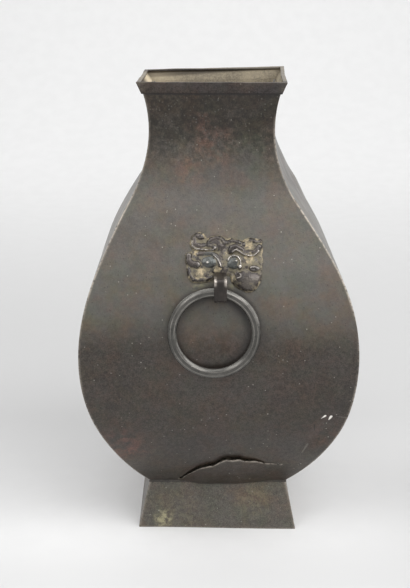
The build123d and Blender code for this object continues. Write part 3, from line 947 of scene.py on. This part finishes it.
class Finish:
    """A material's nodes, with short calls to add and join them, and its colour as laid on so far."""

    def __init__(self, name):
        self.material = bpy.data.materials.new(name)
        self.material.use_nodes = True
        self.tree = self.material.node_tree
        self.shader = self.tree.nodes["Principled BSDF"]
        self.place = self.add("ShaderNodeTexCoord").outputs["Object"]
        self.across, self.depth, self.level = self.add("ShaderNodeSeparateXYZ", {0: self.place}).outputs
        self.colour = None

    def feed(self, socket, value):
        """Links a value to a socket, or sets it there."""
        if isinstance(value, bpy.types.NodeSocket):
            self.tree.links.new(value, socket)
        else:
            socket.default_value = value

    def add(self, kind, inputs=None, **settings):
        made = self.tree.nodes.new(kind)
        for name, value in settings.items():
            setattr(made, name, value)
        for name, value in (inputs or {}).items():
            self.feed(made.inputs[name], value)
        return made

    def noise(self, scale, detail=3.0, roughness=0.55, shift=0.0):
        """Cloudy pattern, moved by a shift so that no two are alike."""
        inputs = {"Vector": self.place, "Location": (shift, shift * 0.7, -shift)}
        moved = self.add("ShaderNodeMapping", inputs)
        inputs = {"Vector": moved.outputs[0], "Scale": scale, "Detail": detail, "Roughness": roughness}
        return self.add("ShaderNodeTexNoise", inputs).outputs["Fac"]

    def ramp(self, value, low, high, to_low=0.0, to_high=1.0):
        """Smooth change from one number to another while a value goes from low to high."""
        inputs = {"Value": value, "From Min": low, "From Max": high, "To Min": to_low, "To Max": to_high}
        return self.add("ShaderNodeMapRange", inputs, interpolation_type="SMOOTHSTEP").outputs[0]

    def cloudy(self, scale, detail, roughness, shift, *limits):
        """Cloudy pattern, stretched by the limits of a ramp."""
        return self.ramp(self.noise(scale, detail, roughness, shift), *limits)

    def math(self, operation, a, b=0.0):
        return self.add("ShaderNodeMath", {0: a, 1: b}, operation=operation).outputs[0]

    def folded(self, operation, values):
        result = values[0]
        for value in values[1:]:
            result = self.math(operation, result, value)
        return result

    def product(self, *values):
        return self.folded("MULTIPLY", values)

    def total(self, *values):
        return self.folded("ADD", values)

    def either(self, *values):
        """Largest of several values."""
        return self.folded("MAXIMUM", values)

    def blend(self, amount, first, second, mode="MIX"):
        made = self.add("ShaderNodeMix", data_type="RGBA", blend_type=mode)
        for index, value in ((0, amount), (6, first), (7, second)):
            self.feed(made.inputs[index], value)
        return made.outputs[2]

    def lay(self, amount, colour, mode="MIX"):
        """Lays an amount of another colour over what is there."""
        self.colour = self.blend(amount, self.colour, colour, mode)

    def attribute(self, name):
        return self.add("ShaderNodeAttribute", attribute_name=name).outputs["Fac"]

    def vector(self, operation, a, b, output="Vector"):
        return self.add("ShaderNodeVectorMath", {0: a, 1: b}, operation=operation).outputs[output]

    def distance(self, centre):
        """Distance from a place on the piece."""
        return self.vector("DISTANCE", self.place, centre, "Value")

    def spot(self, centre, radius, soft):
        """Patch round a place on the piece, soft over a share of its radius."""
        return self.ramp(self.distance(centre), radius, radius * (1 - soft))

    def patches(self, places):
        """Soft patches, each with a centre, a radius and an amount."""
        spots = [self.product(self.spot(centre, radius, 0.8), amount) for centre, radius, amount in places]
        return self.either(*spots)

    def stroke(self, start, end, start_radius, end_radius):
        """Mark along a line on the piece, with a half width at each end."""
        line = Vector(end) - Vector(start)
        offset = self.vector("SUBTRACT", self.place, start)
        part = self.vector("DOT_PRODUCT", offset, tuple(line / line.length_squared), "Value")
        part = self.add("ShaderNodeClamp", {"Value": part}).outputs[0]
        inputs = {0: tuple(line), "Scale": part}
        foot = self.add("ShaderNodeVectorMath", inputs, operation="SCALE").outputs[0]
        gap = self.vector("DISTANCE", offset, foot, "Value")
        radius = self.ramp(part, 0, 1, start_radius, end_radius)
        return self.ramp(self.math("DIVIDE", gap, radius), 1.15, 0.75)

    def strokes(self, marks):
        return self.either(*[self.stroke(*mark) for mark in marks])

    def specks(self, scale, size, share, shift):
        """Sparse small dots: a share of the cells of a grain of a given scale."""
        moved = self.add("ShaderNodeMapping", {"Vector": self.place, "Location": (shift, -shift, shift)})
        cells = self.add("ShaderNodeTexVoronoi", {"Vector": moved.outputs[0], "Scale": scale})
        dot = self.ramp(cells.outputs["Distance"], size, size * 0.45)
        chosen = self.add("ShaderNodeSeparateColor", {"Color": cells.outputs["Color"]}).outputs[0]
        return self.product(dot, self.math("GREATER_THAN", chosen, 1 - share))

    def finish(self, roughness, height, bump=0.3, distance=0.0004, metallic=0.3):
        """Joins the colour, roughness and bump to the shader."""
        bumped = self.add("ShaderNodeBump", {"Strength": bump, "Distance": distance, "Height": height})
        joined = {"Base Color": self.colour, "Metallic": metallic, "Roughness": roughness,
                  "Normal": bumped.outputs["Normal"]}
        for name, value in joined.items():
            self.feed(self.shader.inputs[name], value)
        return self.material


DARK_BRONZE = (0.0325, 0.0262, 0.0222, 1)
GREY_BRONZE = (0.0580, 0.0494, 0.0426, 1)
RED_BRONZE = (0.122, 0.061, 0.047, 1)
GREEN_BRONZE = (0.030, 0.035, 0.022, 1)
# Brown of the painted shade on the upper neck
NECK_SHADE_BROWN = (0.023, 0.017, 0.0115, 1)
STAIN = (0.026, 0.0155, 0.006, 1)
WORN_BRONZE_AND_SHINE = (0.36, 0.32, 0.27, 1)
BARE_NICK_GLINT = (0.90, 0.86, 0.80, 1)
FOOT_DARK, FOOT_LIGHT = (0.076, 0.067, 0.057, 1), (0.100, 0.090, 0.077, 1)
RIM_DARK, RIM_LIGHT = (0.0268, 0.0230, 0.0224, 1), (0.0538, 0.0470, 0.0460, 1)
FLOOR_DARK, FLOOR_LIGHT = (0.030, 0.026, 0.023, 1), (0.055, 0.048, 0.042, 1)
STRAP_DARK, STRAP_LIGHT = (0.020, 0.016, 0.014, 1), (0.042, 0.034, 0.029, 1)
STRAP_WORN_AND_SHINE = (0.42, 0.38, 0.34, 1)
RING_DARK, RING_LIGHT = (0.066, 0.064, 0.059, 1), (0.112, 0.108, 0.099, 1)
RING_WORN = (0.52, 0.49, 0.45, 1)
MASK_DARK, MASK_LIGHT = (0.036, 0.031, 0.029, 1), (0.082, 0.069, 0.062, 1)
MASK_CHEEK = (0.116, 0.102, 0.088, 1)
MASK_EYE = (0.100, 0.115, 0.111, 1)
MASK_POLISH = (0.64, 0.59, 0.54, 1)
MASK_SOIL, MASK_BRIGHT_SOIL = (0.212, 0.184, 0.123, 1), (0.52, 0.42, 0.27, 1)
SOLDER_DARK, SOLDER_LIGHT = (0.11, 0.105, 0.10, 1), (0.21, 0.20, 0.185, 1)
GREY_DUST_AND_SHEEN = (0.121, 0.1155, 0.105, 1)
RIM_DUST = (0.24, 0.215, 0.175, 1)
INSIDE_DARK, INSIDE_LIGHT = (0.14, 0.119, 0.086, 1), (0.27, 0.229, 0.160, 1)
INSIDE_DIRT = (0.10, 0.083, 0.058, 1)
INSIDE_DEEP_SHADE = (0.055, 0.047, 0.038, 1)
INSIDE_LIP_SHADE = (0.055, 0.044, 0.032, 1)
PALE_SPECK = (0.42, 0.40, 0.35, 1)
EARTH = (0.30, 0.235, 0.135, 1)
PALE_EARTH = (0.48, 0.41, 0.29, 1)
DRY_EARTH = (0.72, 0.61, 0.43, 1)
GREEN_EARTH = (0.23, 0.215, 0.13, 1)
YELLOW_EARTH = (0.34, 0.312, 0.190, 1)
# Black of dirt and pits, also laid as painted shade and shadow
BLACK_DIRT_AND_SHADE = (0.016, 0.013, 0.012, 1)
FLAKED_DARK, FLAKED_LIGHT = (0.58, 0.58, 0.56, 1), (1.40, 1.40, 1.38, 1)
# Faint tints over all the bronze: colour to multiply by, and the pattern's scale and shift
TINTS = [((1.15, 0.97, 0.91, 1), 45, 8.3), ((0.94, 1.02, 0.94, 1), 55, 2.2), ((1.07, 0.99, 0.86, 1), 38, 5.1)]

# Patches on the pieces: places, with a radius and an amount
RED_PATCHES = [((-0.004, -0.055, 0.311), 0.024, 1.0), ((-0.022, -0.057, 0.296), 0.020, 0.9),
               ((-0.014, -0.053, 0.326), 0.018, 0.5), ((-0.018, -0.1, 0.178), 0.012, 0.5),
               ((0.0, -0.1, 0.185), 0.026, 0.35), ((0.083, -0.095, 0.095), 0.026, 0.4),
               ((-0.074, -0.086, 0.083), 0.030, 0.9)]
STAINS = [((-0.0036, -0.1, 0.1817), 0.036, 1.0), ((0.008, -0.068, 0.052), 0.036, 0.7)]
GREEN_PATCHES = [((0.022, -0.0555, 0.3095), 0.024, 1.0), ((-0.008, -0.0535, 0.331), 0.014, 0.7),
                 ((0.026, -0.06, 0.295), 0.018, 0.7)]
FRONT_PATCHES = [(RED_PATCHES, RED_BRONZE, 5.9), (STAINS, STAIN, 9.4), (GREEN_PATCHES, GREEN_BRONZE, 1.3)]
MASK_EARTH = [((0.004, -0.094, 0.231), 0.042, 0.3), ((-0.014, -0.098, 0.2145), 0.010, 0.8),
              ((0.011, -0.098, 0.2155), 0.008, 0.8), ((0.034, -0.094, 0.240), 0.012, 0.5)]
FOOT_EARTH = [((-0.044, -0.0635, 0.007), 0.0115, 1.0), ((-0.03, -0.0625, 0.012), 0.03, 0.15),
              ((0.028, -0.0600, 0.022), 0.02, 0.2)]
FLOOR_EARTH = [((0, 0, floor_top), 0.06, 0.8)]
RIM_EARTH = [((-0.056, 0.0, 0.36), 0.05, 0.7), ((-0.060, -0.061, 0.353), 0.016, 0.22),
             ((0.056, -0.060, 0.353), 0.016, 0.22)]
INSIDE_EARTH = [((-0.056, 0.022, 0.352), 0.042, 0.9)]
# Cheek of the front mask and of the back one
CHEEKS = [(0.0226, -0.1035, 0.2185), (-0.0226, 0.1035, 0.2185)]
cheek_radius = 0.0105

# Marks low on the right of the front: start, end, and the half width at each
GOUGES = [((0.0788, -0.0977, 0.1096), (0.0817, -0.0984, 0.1120), 0.0002, 0.0009),
          ((0.0833, -0.0962, 0.1052), (0.0863, -0.0982, 0.1110), 0.0003, 0.0013)]
SCRATCHES = [((0.0900, -0.0981, 0.1110), (0.0977, -0.0980, 0.1106), 0.0007, 0.0005),
             ((0.0698, -0.0861, 0.0828), (0.0660, -0.0812, 0.0738), 0.0011, 0.0005)]
SLITS = [((0.0739, -0.0955, 0.1033), (0.0742, -0.0931, 0.0974), 0.0006, 0.0006)]


# Levels, depths and distances over which a finish changes, with the amounts at both where they aren't 0 and 1
neck_shade_levels = (0.296, 0.333)
sheen_dust_lower_levels, sheen_dust_upper_levels = (0.163, 0.196), (0.333, 0.290)
sheen_dust_thinning = (0.205, 0.26, 1.12, 0.67)
flaked_levels = (0.280, 0.318)
rim_top_levels = (height - 0.0012, height - 0.0002)
rim_dust_depths = (-0.052, -0.044, 0, 0.75)
rim_joint_shade = (0.0014, 0.0004, 0, 0.75)
ring_shadow_inner, ring_shadow_outer = (0.0205, 0.0275), (0.038, 0.033)
ring_shadow_aside, ring_shadow_up = (-0.03, 0.015, 0.2, 0.6), (0.180, 0.202, 0, 0.5)
inside_shade_levels = (0.33, 0.23)
lip_shade_tilt = 0.07
lip_shade_levels = (height - 0.0048, height - 0.0028, 0, 0.85)
coat_roughness = 0.28


def shade_neck(skin):
    """Painted brown shade on the upper neck under the rim, ragged along its lower edge."""
    ragged = skin.cloudy(85, 4, 0.65, 7, 0.3, 0.7, -0.6, 0.3)
    neck_shade = skin.total(skin.ramp(skin.level, *neck_shade_levels), ragged)
    # Painted shade: brown laid on the neck, full just under the rim
    skin.lay(skin.product(skin.ramp(neck_shade, 0, 1), 0.95), NECK_SHADE_BROWN)


def dust_and_sheen_shoulders(skin, tone):
    """Grey dust and painted sheen on the shoulders, thinner towards the neck."""
    limits = (sheen_dust_lower_levels, sheen_dust_upper_levels, sheen_dust_thinning)
    shoulder = skin.product(*[skin.ramp(skin.level, *levels) for levels in limits])
    # Dust and painted sheen: the up-facing shoulders are laid lighter grey
    skin.lay(skin.product(shoulder, skin.ramp(tone, 0.36, 0.60, 0.49, 0.63)), GREY_DUST_AND_SHEEN)


def flake_neck(skin):
    """Uneven neck with pale flakes and small dark holes."""
    on_neck = skin.ramp(skin.level, *flaked_levels)
    uneven = skin.cloudy(230, 4, 0.75, 11.3, 0.36, 0.64)
    skin.lay(on_neck, skin.blend(uneven, FLAKED_DARK, FLAKED_LIGHT), "MULTIPLY")
    skin.lay(skin.product(skin.specks(430, 0.34, 0.30, 3.7), on_neck, 0.55), GREY_DUST_AND_SHEEN)
    skin.lay(skin.product(skin.specks(330, 0.38, 0.26, 8.8), on_neck, 0.5), BLACK_DIRT_AND_SHADE)


def mark_front(skin):
    """Painted shadow on the wall inside the ring, stronger towards its top and right, and the nicks,
    scratches and slit low on the right.
    """
    from_ring = skin.distance(tuple(ring_centre))
    ring_shadow = skin.product(skin.ramp(from_ring, *ring_shadow_inner),
                              skin.ramp(from_ring, *ring_shadow_outer))
    shadow_side = skin.total(skin.ramp(skin.across, *ring_shadow_aside),
                               skin.ramp(skin.level, *ring_shadow_up))
    # Painted shadow: black laid on the wall just inside the ring
    skin.lay(skin.product(ring_shadow, shadow_side), BLACK_DIRT_AND_SHADE)
    skin.lay(skin.product(skin.strokes(SCRATCHES), 0.16), PALE_SPECK)
    skin.lay(skin.product(skin.strokes(SLITS), 0.8), BLACK_DIRT_AND_SHADE)
    # Nicks laid near white: bare metal with a painted glint
    skin.lay(skin.strokes(GOUGES), BARE_NICK_GLINT)


def bronze(name, dark=DARK_BRONZE, light=GREY_BRONZE, patches=(), earth=(), crust_colour=GREEN_EARTH,
           body=False, marked=False, coat=0.2, dullness=0.36, top_dust=None):
    """Old brown bronze: mottled, finely grained, with red and green tints, pale specks and worn edges."""
    skin = Finish(name)
    cloud = skin.noise(13, 3, 0.5)
    blotch = skin.noise(70, 4, 0.6, 3.1)
    mottle = skin.noise(330, 3, 0.6, 6.6)
    grain = skin.noise(1100, 2, 0.6, 1.7)
    shares = ((cloud, 0.32), (blotch, 0.20), (mottle, 0.30), (grain, 0.18))
    tone = skin.total(*[skin.product(pattern, share) for pattern, share in shares])
    skin.colour = skin.blend(skin.ramp(tone, 0.38, 0.62), dark, light)
    if body:
        shade_neck(skin)
    for places, colour, shift in patches:
        ragged = skin.cloudy(120, 4, 0.65, shift, 0.36, 0.64, 0.0, 0.85)
        skin.lay(skin.product(skin.patches(places), ragged), colour)
    fleck = skin.total(skin.ramp(mottle, 0.3, 0.7, 0.41, 0.59), skin.ramp(grain, 0.3, 0.7, 0.24, 0.76))
    flecks = skin.add("ShaderNodeCombineColor", {0: fleck, 1: fleck, 2: fleck}).outputs[0]
    skin.lay(1.0, flecks, "MULTIPLY")
    if body:
        dust_and_sheen_shoulders(skin, tone)
        flake_neck(skin)
    for tint, scale, shift in TINTS:
        skin.lay(skin.cloudy(scale, 5, 0.7, shift, 0.42, 0.66), tint, "MULTIPLY")
    crust = None
    if earth:
        crust = skin.product(skin.patches(earth), skin.cloudy(260, 5, 0.7, 4.4, 0.40, 0.62))
        skin.lay(crust, crust_colour)
    pits = skin.specks(520, 0.34, 0.16, 0.9)
    skin.lay(skin.product(pits, 0.45), BLACK_DIRT_AND_SHADE)
    dots = skin.either(skin.specks(105, 0.075, 0.30, 2.0), skin.specks(310, 0.16, 0.12, 6.0))
    skin.lay(skin.product(dots, 0.6), PALE_SPECK)
    if top_dust:
        on_top = skin.ramp(skin.level, *rim_top_levels)
        skin.lay(skin.product(on_top, skin.ramp(skin.depth, *rim_dust_depths)), top_dust)
    # Painted shade: a dark line along the joint where the rim overhangs the neck
    from_joint = skin.math("ABSOLUTE", skin.math("SUBTRACT", skin.level, mouth_level))
    skin.lay(skin.ramp(from_joint, *rim_joint_shade), BLACK_DIRT_AND_SHADE)
    # Bright worn metal; along the tear's lip it is also a painted highlight
    worn_and_shining = skin.product(skin.attribute("wear_and_shine"), skin.cloudy(420, 3, 0.6, 7.7, 0.30, 0.55))
    skin.lay(worn_and_shining, WORN_BRONZE_AND_SHINE)
    if marked:
        mark_front(skin)
    lift = skin.total(skin.product(grain, 0.5), skin.product(blotch, 0.6))
    lift = skin.math("SUBTRACT", lift, skin.product(pits, 0.5))
    if crust:
        lift = skin.total(lift, crust)
    skin.shader.inputs["Coat Weight"].default_value = coat
    skin.shader.inputs["Coat Roughness"].default_value = coat_roughness
    return skin.finish(skin.ramp(blotch, 0.3, 0.7, dullness, dullness + 0.12), lift)


def dusty_inside():
    """Inside of the vessel: bronze under pale dust and earth, painted shade deep down and in a band under the
    lip.
    """
    skin = Finish("dusty_inside")
    cloud = skin.noise(24, 4, 0.6)
    grain = skin.noise(700, 3, 0.6, 2.4)
    skin.colour = skin.blend(skin.ramp(cloud, 0.36, 0.64), INSIDE_DARK, INSIDE_LIGHT)
    skin.lay(skin.cloudy(90, 5, 0.65, 3.3, 0.50, 0.66, 0, 0.6), INSIDE_DIRT)
    skin.lay(skin.ramp(grain, 0.3, 0.7, 0, 0.3), PALE_EARTH)
    # Painted shade: darker deeper inside
    skin.lay(skin.ramp(skin.level, *inside_shade_levels), INSIDE_DEEP_SHADE)
    # Painted shade: a dark band under the rim's lip, tilted across the mouth
    tilted = skin.math("SUBTRACT", skin.level, skin.product(skin.across, lip_shade_tilt))
    skin.lay(skin.ramp(tilted, *lip_shade_levels), INSIDE_LIP_SHADE)
    skin.lay(skin.patches(INSIDE_EARTH), DRY_EARTH)
    return skin.finish(skin.ramp(cloud, 0.3, 0.7, 0.75, 0.92), grain, 0.5, 0.0005, 0.0)


def mask_bronze():
    """Cast mask: dark shiny high points, bluish eyes, and yellow earth left in the hollows."""
    skin = Finish("mask_bronze")
    grain = skin.noise(900, 3, 0.6)
    blotch = skin.noise(150, 4, 0.6, 4.1)
    skin.colour = skin.blend(skin.ramp(blotch, 0.35, 0.65), MASK_DARK, MASK_LIGHT)
    skin.lay(skin.either(*[skin.spot(cheek, cheek_radius, 0.6) for cheek in CHEEKS]), MASK_CHEEK)
    skin.lay(skin.product(skin.attribute("eye"), skin.ramp(blotch, 0.35, 0.6, 0.35, 0.75)), MASK_EYE)
    proud = skin.ramp(skin.attribute("proud"), 0.25, 0.95)
    polished = skin.product(proud, skin.ramp(blotch, 0.35, 0.6, 0.4, 0.9))
    skin.lay(polished, MASK_POLISH)
    ground = skin.total(skin.attribute("hollow"), skin.cloudy(210, 4, 0.65, 6.2, 0.3, 0.7, -0.5, 0.3))
    clots = skin.total(skin.attribute("soil"), skin.cloudy(330, 4, 0.65, 7.2, 0.3, 0.7, -0.45, 0.25))
    earthy = skin.either(skin.ramp(ground, 0.05, 0.55, 0, 0.75), skin.ramp(clots, 0.15, 0.6))
    bright = skin.product(skin.ramp(clots, 0.25, 0.8), skin.cloudy(260, 4, 0.6, 1.2, 0.35, 0.62))
    skin.lay(earthy, skin.blend(bright, MASK_SOIL, MASK_BRIGHT_SOIL))
    roughness = skin.math("SUBTRACT", skin.ramp(earthy, 0, 1, 0.27, 0.75), skin.product(polished, 0.09))
    metallic = skin.math("SUBTRACT", skin.ramp(polished, 0, 1, 0.5, 0.85), skin.product(earthy, 0.5))
    lift = skin.total(skin.product(grain, 0.6), blotch)
    return skin.finish(roughness, lift, 0.35, 0.0004, metallic)


def rod_bronze(name, dark, light, worn, metallic, roughness):
    """Handled ring and strap bronze: smoother, finely pitted, edges worn bright, painted highlight at the
    strap's bend.
    """
    skin = Finish(name)
    blotch = skin.noise(90, 4, 0.6)
    grain = skin.noise(1300, 2, 0.6, 5.5)
    skin.colour = skin.blend(skin.ramp(blotch, 0.34, 0.66), dark, light)
    skin.lay(skin.ramp(grain, 0.4, 0.8, 0, 0.25), light)
    pits = skin.specks(600, 0.33, 0.14, 1.1)
    skin.lay(skin.product(pits, 0.5), BLACK_DIRT_AND_SHADE)
    bare_and_shine = skin.product(skin.attribute("wear_and_shine"), skin.cloudy(260, 3, 0.6, 3.8, 0.28, 0.55, 0.35, 1))
    skin.lay(bare_and_shine, worn)
    dull = skin.ramp(blotch, 0.3, 0.7, roughness, roughness + 0.1)
    shine = skin.math("SUBTRACT", dull, skin.product(bare_and_shine, 0.08))
    lift = skin.math("SUBTRACT", skin.product(grain, 0.5), skin.product(pits, 0.5))
    return skin.finish(shine, lift, 0.25, 0.0003, skin.ramp(bare_and_shine, 0, 1, metallic, 0.9))


def solder_grey():
    """Old solder: dull grey, lumpy and dusty."""
    skin = Finish("old_solder")
    blotch = skin.noise(180, 4, 0.6)
    grain = skin.noise(900, 3, 0.6, 2.9)
    skin.colour = skin.blend(skin.ramp(blotch, 0.35, 0.65), SOLDER_DARK, SOLDER_LIGHT)
    skin.lay(skin.ramp(grain, 0.5, 0.8, 0, 0.5), EARTH)
    lift = skin.total(skin.product(grain, 0.4), blotch)
    return skin.finish(skin.ramp(blotch, 0.3, 0.7, 0.5, 0.7), lift, 0.5, 0.0006, 0.5)


FINISHES = {
    "body": bronze("body_bronze", body=True, coat=0.25),
    "front_body": bronze("front_body_bronze", patches=FRONT_PATCHES, earth=MASK_EARTH, body=True,
                         marked=True),
    "foot": bronze("foot_bronze", FOOT_DARK, FOOT_LIGHT, earth=FOOT_EARTH, crust_colour=YELLOW_EARTH),
    "rim": bronze("rim_bronze", RIM_DARK, RIM_LIGHT, earth=RIM_EARTH, crust_colour=PALE_EARTH, coat=0.0,
                  dullness=0.5, top_dust=RIM_DUST),
    "floor": bronze("floor_bronze", FLOOR_DARK, FLOOR_LIGHT, earth=FLOOR_EARTH, crust_colour=PALE_EARTH),
    "dusty_inside": dusty_inside(),
    "mask": mask_bronze(),
    "strap": rod_bronze("strap_bronze", STRAP_DARK, STRAP_LIGHT, STRAP_WORN_AND_SHINE, metallic=0.4, roughness=0.34),
    "ring": rod_bronze("ring_bronze", RING_DARK, RING_LIGHT, RING_WORN, metallic=0.75, roughness=0.13),
    "solder": solder_grey(),
}


def dress_frame_nodes():
    """Gives the nodes that stay as they are their own finishes."""
    for name, finish in (("floor_plate", "floor"), ("floor_solder", "solder"), ("foot_solder", "solder")):
        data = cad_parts[name].data
        data.materials.clear()
        data.materials.append(FINISHES[finish])


# Stage, light and camera

# Strength of the surroundings as a light on the vessel, and as they are seen
surrounding_light = 0.42
pale_surroundings = 0.85
# Studio paper: half its width, where it starts and ends, how high it rises and the radius of its bend
paper_half_width, paper_front, paper_back, paper_top = 3.2, -3.0, 2.0, 2.6
paper_bend, paper_rows = 0.8, 90
# Greys of the paper: its fibres, and the painted shade behind, in front of and beside the vessel
paper_dark_fibre, paper_light_fibre = 0.88, 0.90
paper_shade_behind, paper_shade_before, paper_shade_beside = 0.54, 0.69, 0.60
# Soft lamps: name, place, the point they face, width, length and watts
SOFTBOXES = [
    ("key_right", (0.95, -0.95, 1.45), (0, 0, 0.15), 1.5, 1.1, 17),
    ("key_left", (-0.95, -0.95, 1.35), (0, 0, 0.15), 0.9, 0.9, 7),
    ("overhead", (-0.1, -0.2, 1.75), (0, 0.05, 0.1), 1.6, 1.4, 10),
    ("backdrop", (0, 0.7, 2.4), (0, 2.0, 1.1), 1.8, 0.6, 6.5),
    ("left_fill", (-1.35, 0.35, 1.05), (0, 0, 0.2), 1.0, 1.2, 4),
    ("right_fill", (1.35, -0.25, 0.7), (0, 0, 0.2), 0.9, 1.3, 7),
]
camera_place = (-0.0103, -0.94165, 0.45543)
camera_pitch = radians(73.72)
camera_lens, camera_sensor, camera_reach = 72.52, 36, 50


def grey(tone):
    """Grey colour of a tone."""
    return (tone, tone, tone, 1)


def seen_rays(tree):
    """1 for what the camera sees, also in a reflection or through glass, and 0 for other light."""
    path = tree.nodes.new("ShaderNodeLightPath").outputs
    seen = path["Is Camera Ray"]
    for name in ("Is Glossy Ray", "Is Transmission Ray"):
        larger = tree.nodes.new("ShaderNodeMath")
        larger.operation = "MAXIMUM"
        tree.links.new(seen, larger.inputs[0])
        tree.links.new(path[name], larger.inputs[1])
        seen = larger.outputs[0]
    return seen


def studio_paper():
    """Pale paper with painted shade round the vessel, that fades into the surroundings far from it."""
    paper = Finish("studio_paper")
    fibre = paper.noise(40, 3, 0.5)
    # Painted shade: the vessel's shadow behind it, a little darker on the left, and shade further in front
    # and aside
    behind = paper.product(paper.ramp(paper.depth, -0.03, 0.19), paper.ramp(paper.depth, 1.5, 0.35),
                           paper.ramp(paper.across, -0.3, 0.3, 0.9, 0.85))
    before = paper.ramp(paper.depth, -0.06, -0.16)
    right, left = paper.ramp(paper.across, 0.045, 0.21), paper.ramp(paper.across, -0.045, -0.24, 0, 0.6)
    beside = paper.product(paper.either(right, left), paper.ramp(paper.depth, 0.3, 0.0))
    paper.colour = paper.blend(paper.ramp(fibre, 0.3, 0.7), grey(paper_dark_fibre), grey(paper_light_fibre))
    for part, tone in ((behind, paper_shade_behind), (before, paper_shade_before), (beside, paper_shade_beside)):
        paper.lay(part, grey(tone))
    material = paper.finish(paper.ramp(fibre, 0.3, 0.7, 0.9, 0.95), fibre, 0.05, 0.0002, 0.0)
    far_aside = paper.ramp(paper.math("ABSOLUTE", paper.across), 0.7, 2.0)
    far = paper.either(far_aside, paper.ramp(paper.depth, -0.6, -2.0))
    glow = paper.add("ShaderNodeEmission", {"Strength": pale_surroundings}).outputs[0]
    faded = paper.product(far, seen_rays(paper.tree))
    fading = paper.add("ShaderNodeMixShader", {0: faded, 1: paper.shader.outputs[0], 2: glow})
    paper.feed(paper.tree.nodes["Material Output"].inputs["Surface"], fading.outputs[0])
    return material


def make_stage():
    """Pale floor that curves up into a backdrop."""
    bm = bmesh.new()
    bmesh.ops.create_grid(bm, x_segments=2, y_segments=paper_rows, size=1)
    flat = paper_back - paper_bend - paper_front
    arc = paper_bend * pi / 2
    length = flat + arc + paper_top - paper_bend
    for vert in bm.verts:
        across, along = vert.co.x * paper_half_width, (vert.co.y + 1) / 2 * length
        angle = min(pi / 2, max(0, (along - flat) / paper_bend))
        depth = paper_front + min(along, flat) + paper_bend * sin(angle)
        level = paper_bend * (1 - cos(angle)) + max(0, along - flat - arc)
        vert.co = Vector((across, depth, level))
    mesh = bpy.data.meshes.new("studio_sweep")
    bm.to_mesh(mesh)
    bm.free()
    mesh.shade_smooth()
    mesh.materials.append(studio_paper())
    sweep = bpy.data.objects.new("studio_sweep", mesh)
    bpy.context.scene.collection.objects.link(sweep)


def add_softbox(name, place, aim, width, length, power):
    """Large soft lamp at a place, aimed at a point."""
    light = bpy.data.lights.new(name, "AREA")
    light.shape = "RECTANGLE"
    light.size, light.size_y = width, length
    light.energy = power
    lamp = bpy.data.objects.new(name, light)
    lamp.location = place
    lamp.rotation_euler = (Vector(aim) - Vector(place)).to_track_quat("-Z", "Y").to_euler()
    bpy.context.scene.collection.objects.link(lamp)


def make_light():
    """White surroundings, two lamps high in front, one overhead, one on the backdrop and one at each side."""
    world = bpy.data.worlds.new("studio_air")
    bpy.context.scene.world = world
    world.use_nodes = True
    background = world.node_tree.nodes["Background"]
    background.inputs["Color"].default_value = (1, 1, 1, 1)
    strength = world.node_tree.nodes.new("ShaderNodeMapRange")
    strength.inputs["To Min"].default_value = surrounding_light
    strength.inputs["To Max"].default_value = pale_surroundings
    world.node_tree.links.new(seen_rays(world.node_tree), strength.inputs["Value"])
    world.node_tree.links.new(strength.outputs[0], background.inputs["Strength"])
    for softbox in SOFTBOXES:
        add_softbox(*softbox)


def make_camera():
    """Camera at the photograph's place, looking a little down."""
    data = bpy.data.cameras.new("camera")
    data.lens = camera_lens
    data.sensor_width = camera_sensor
    data.clip_end = camera_reach
    camera = bpy.data.objects.new("camera", data)
    camera.location = camera_place
    camera.rotation_euler = (camera_pitch, 0, 0)
    bpy.context.scene.collection.objects.link(camera)
    bpy.context.scene.camera = camera
    bpy.context.scene.view_settings.view_transform = "Standard"


make_camera()
make_light()
make_stage()
make_walls()
make_foot()
make_rim()
make_corner_solder()
make_straps()
make_rings()
make_masks()
dress_frame_nodes()
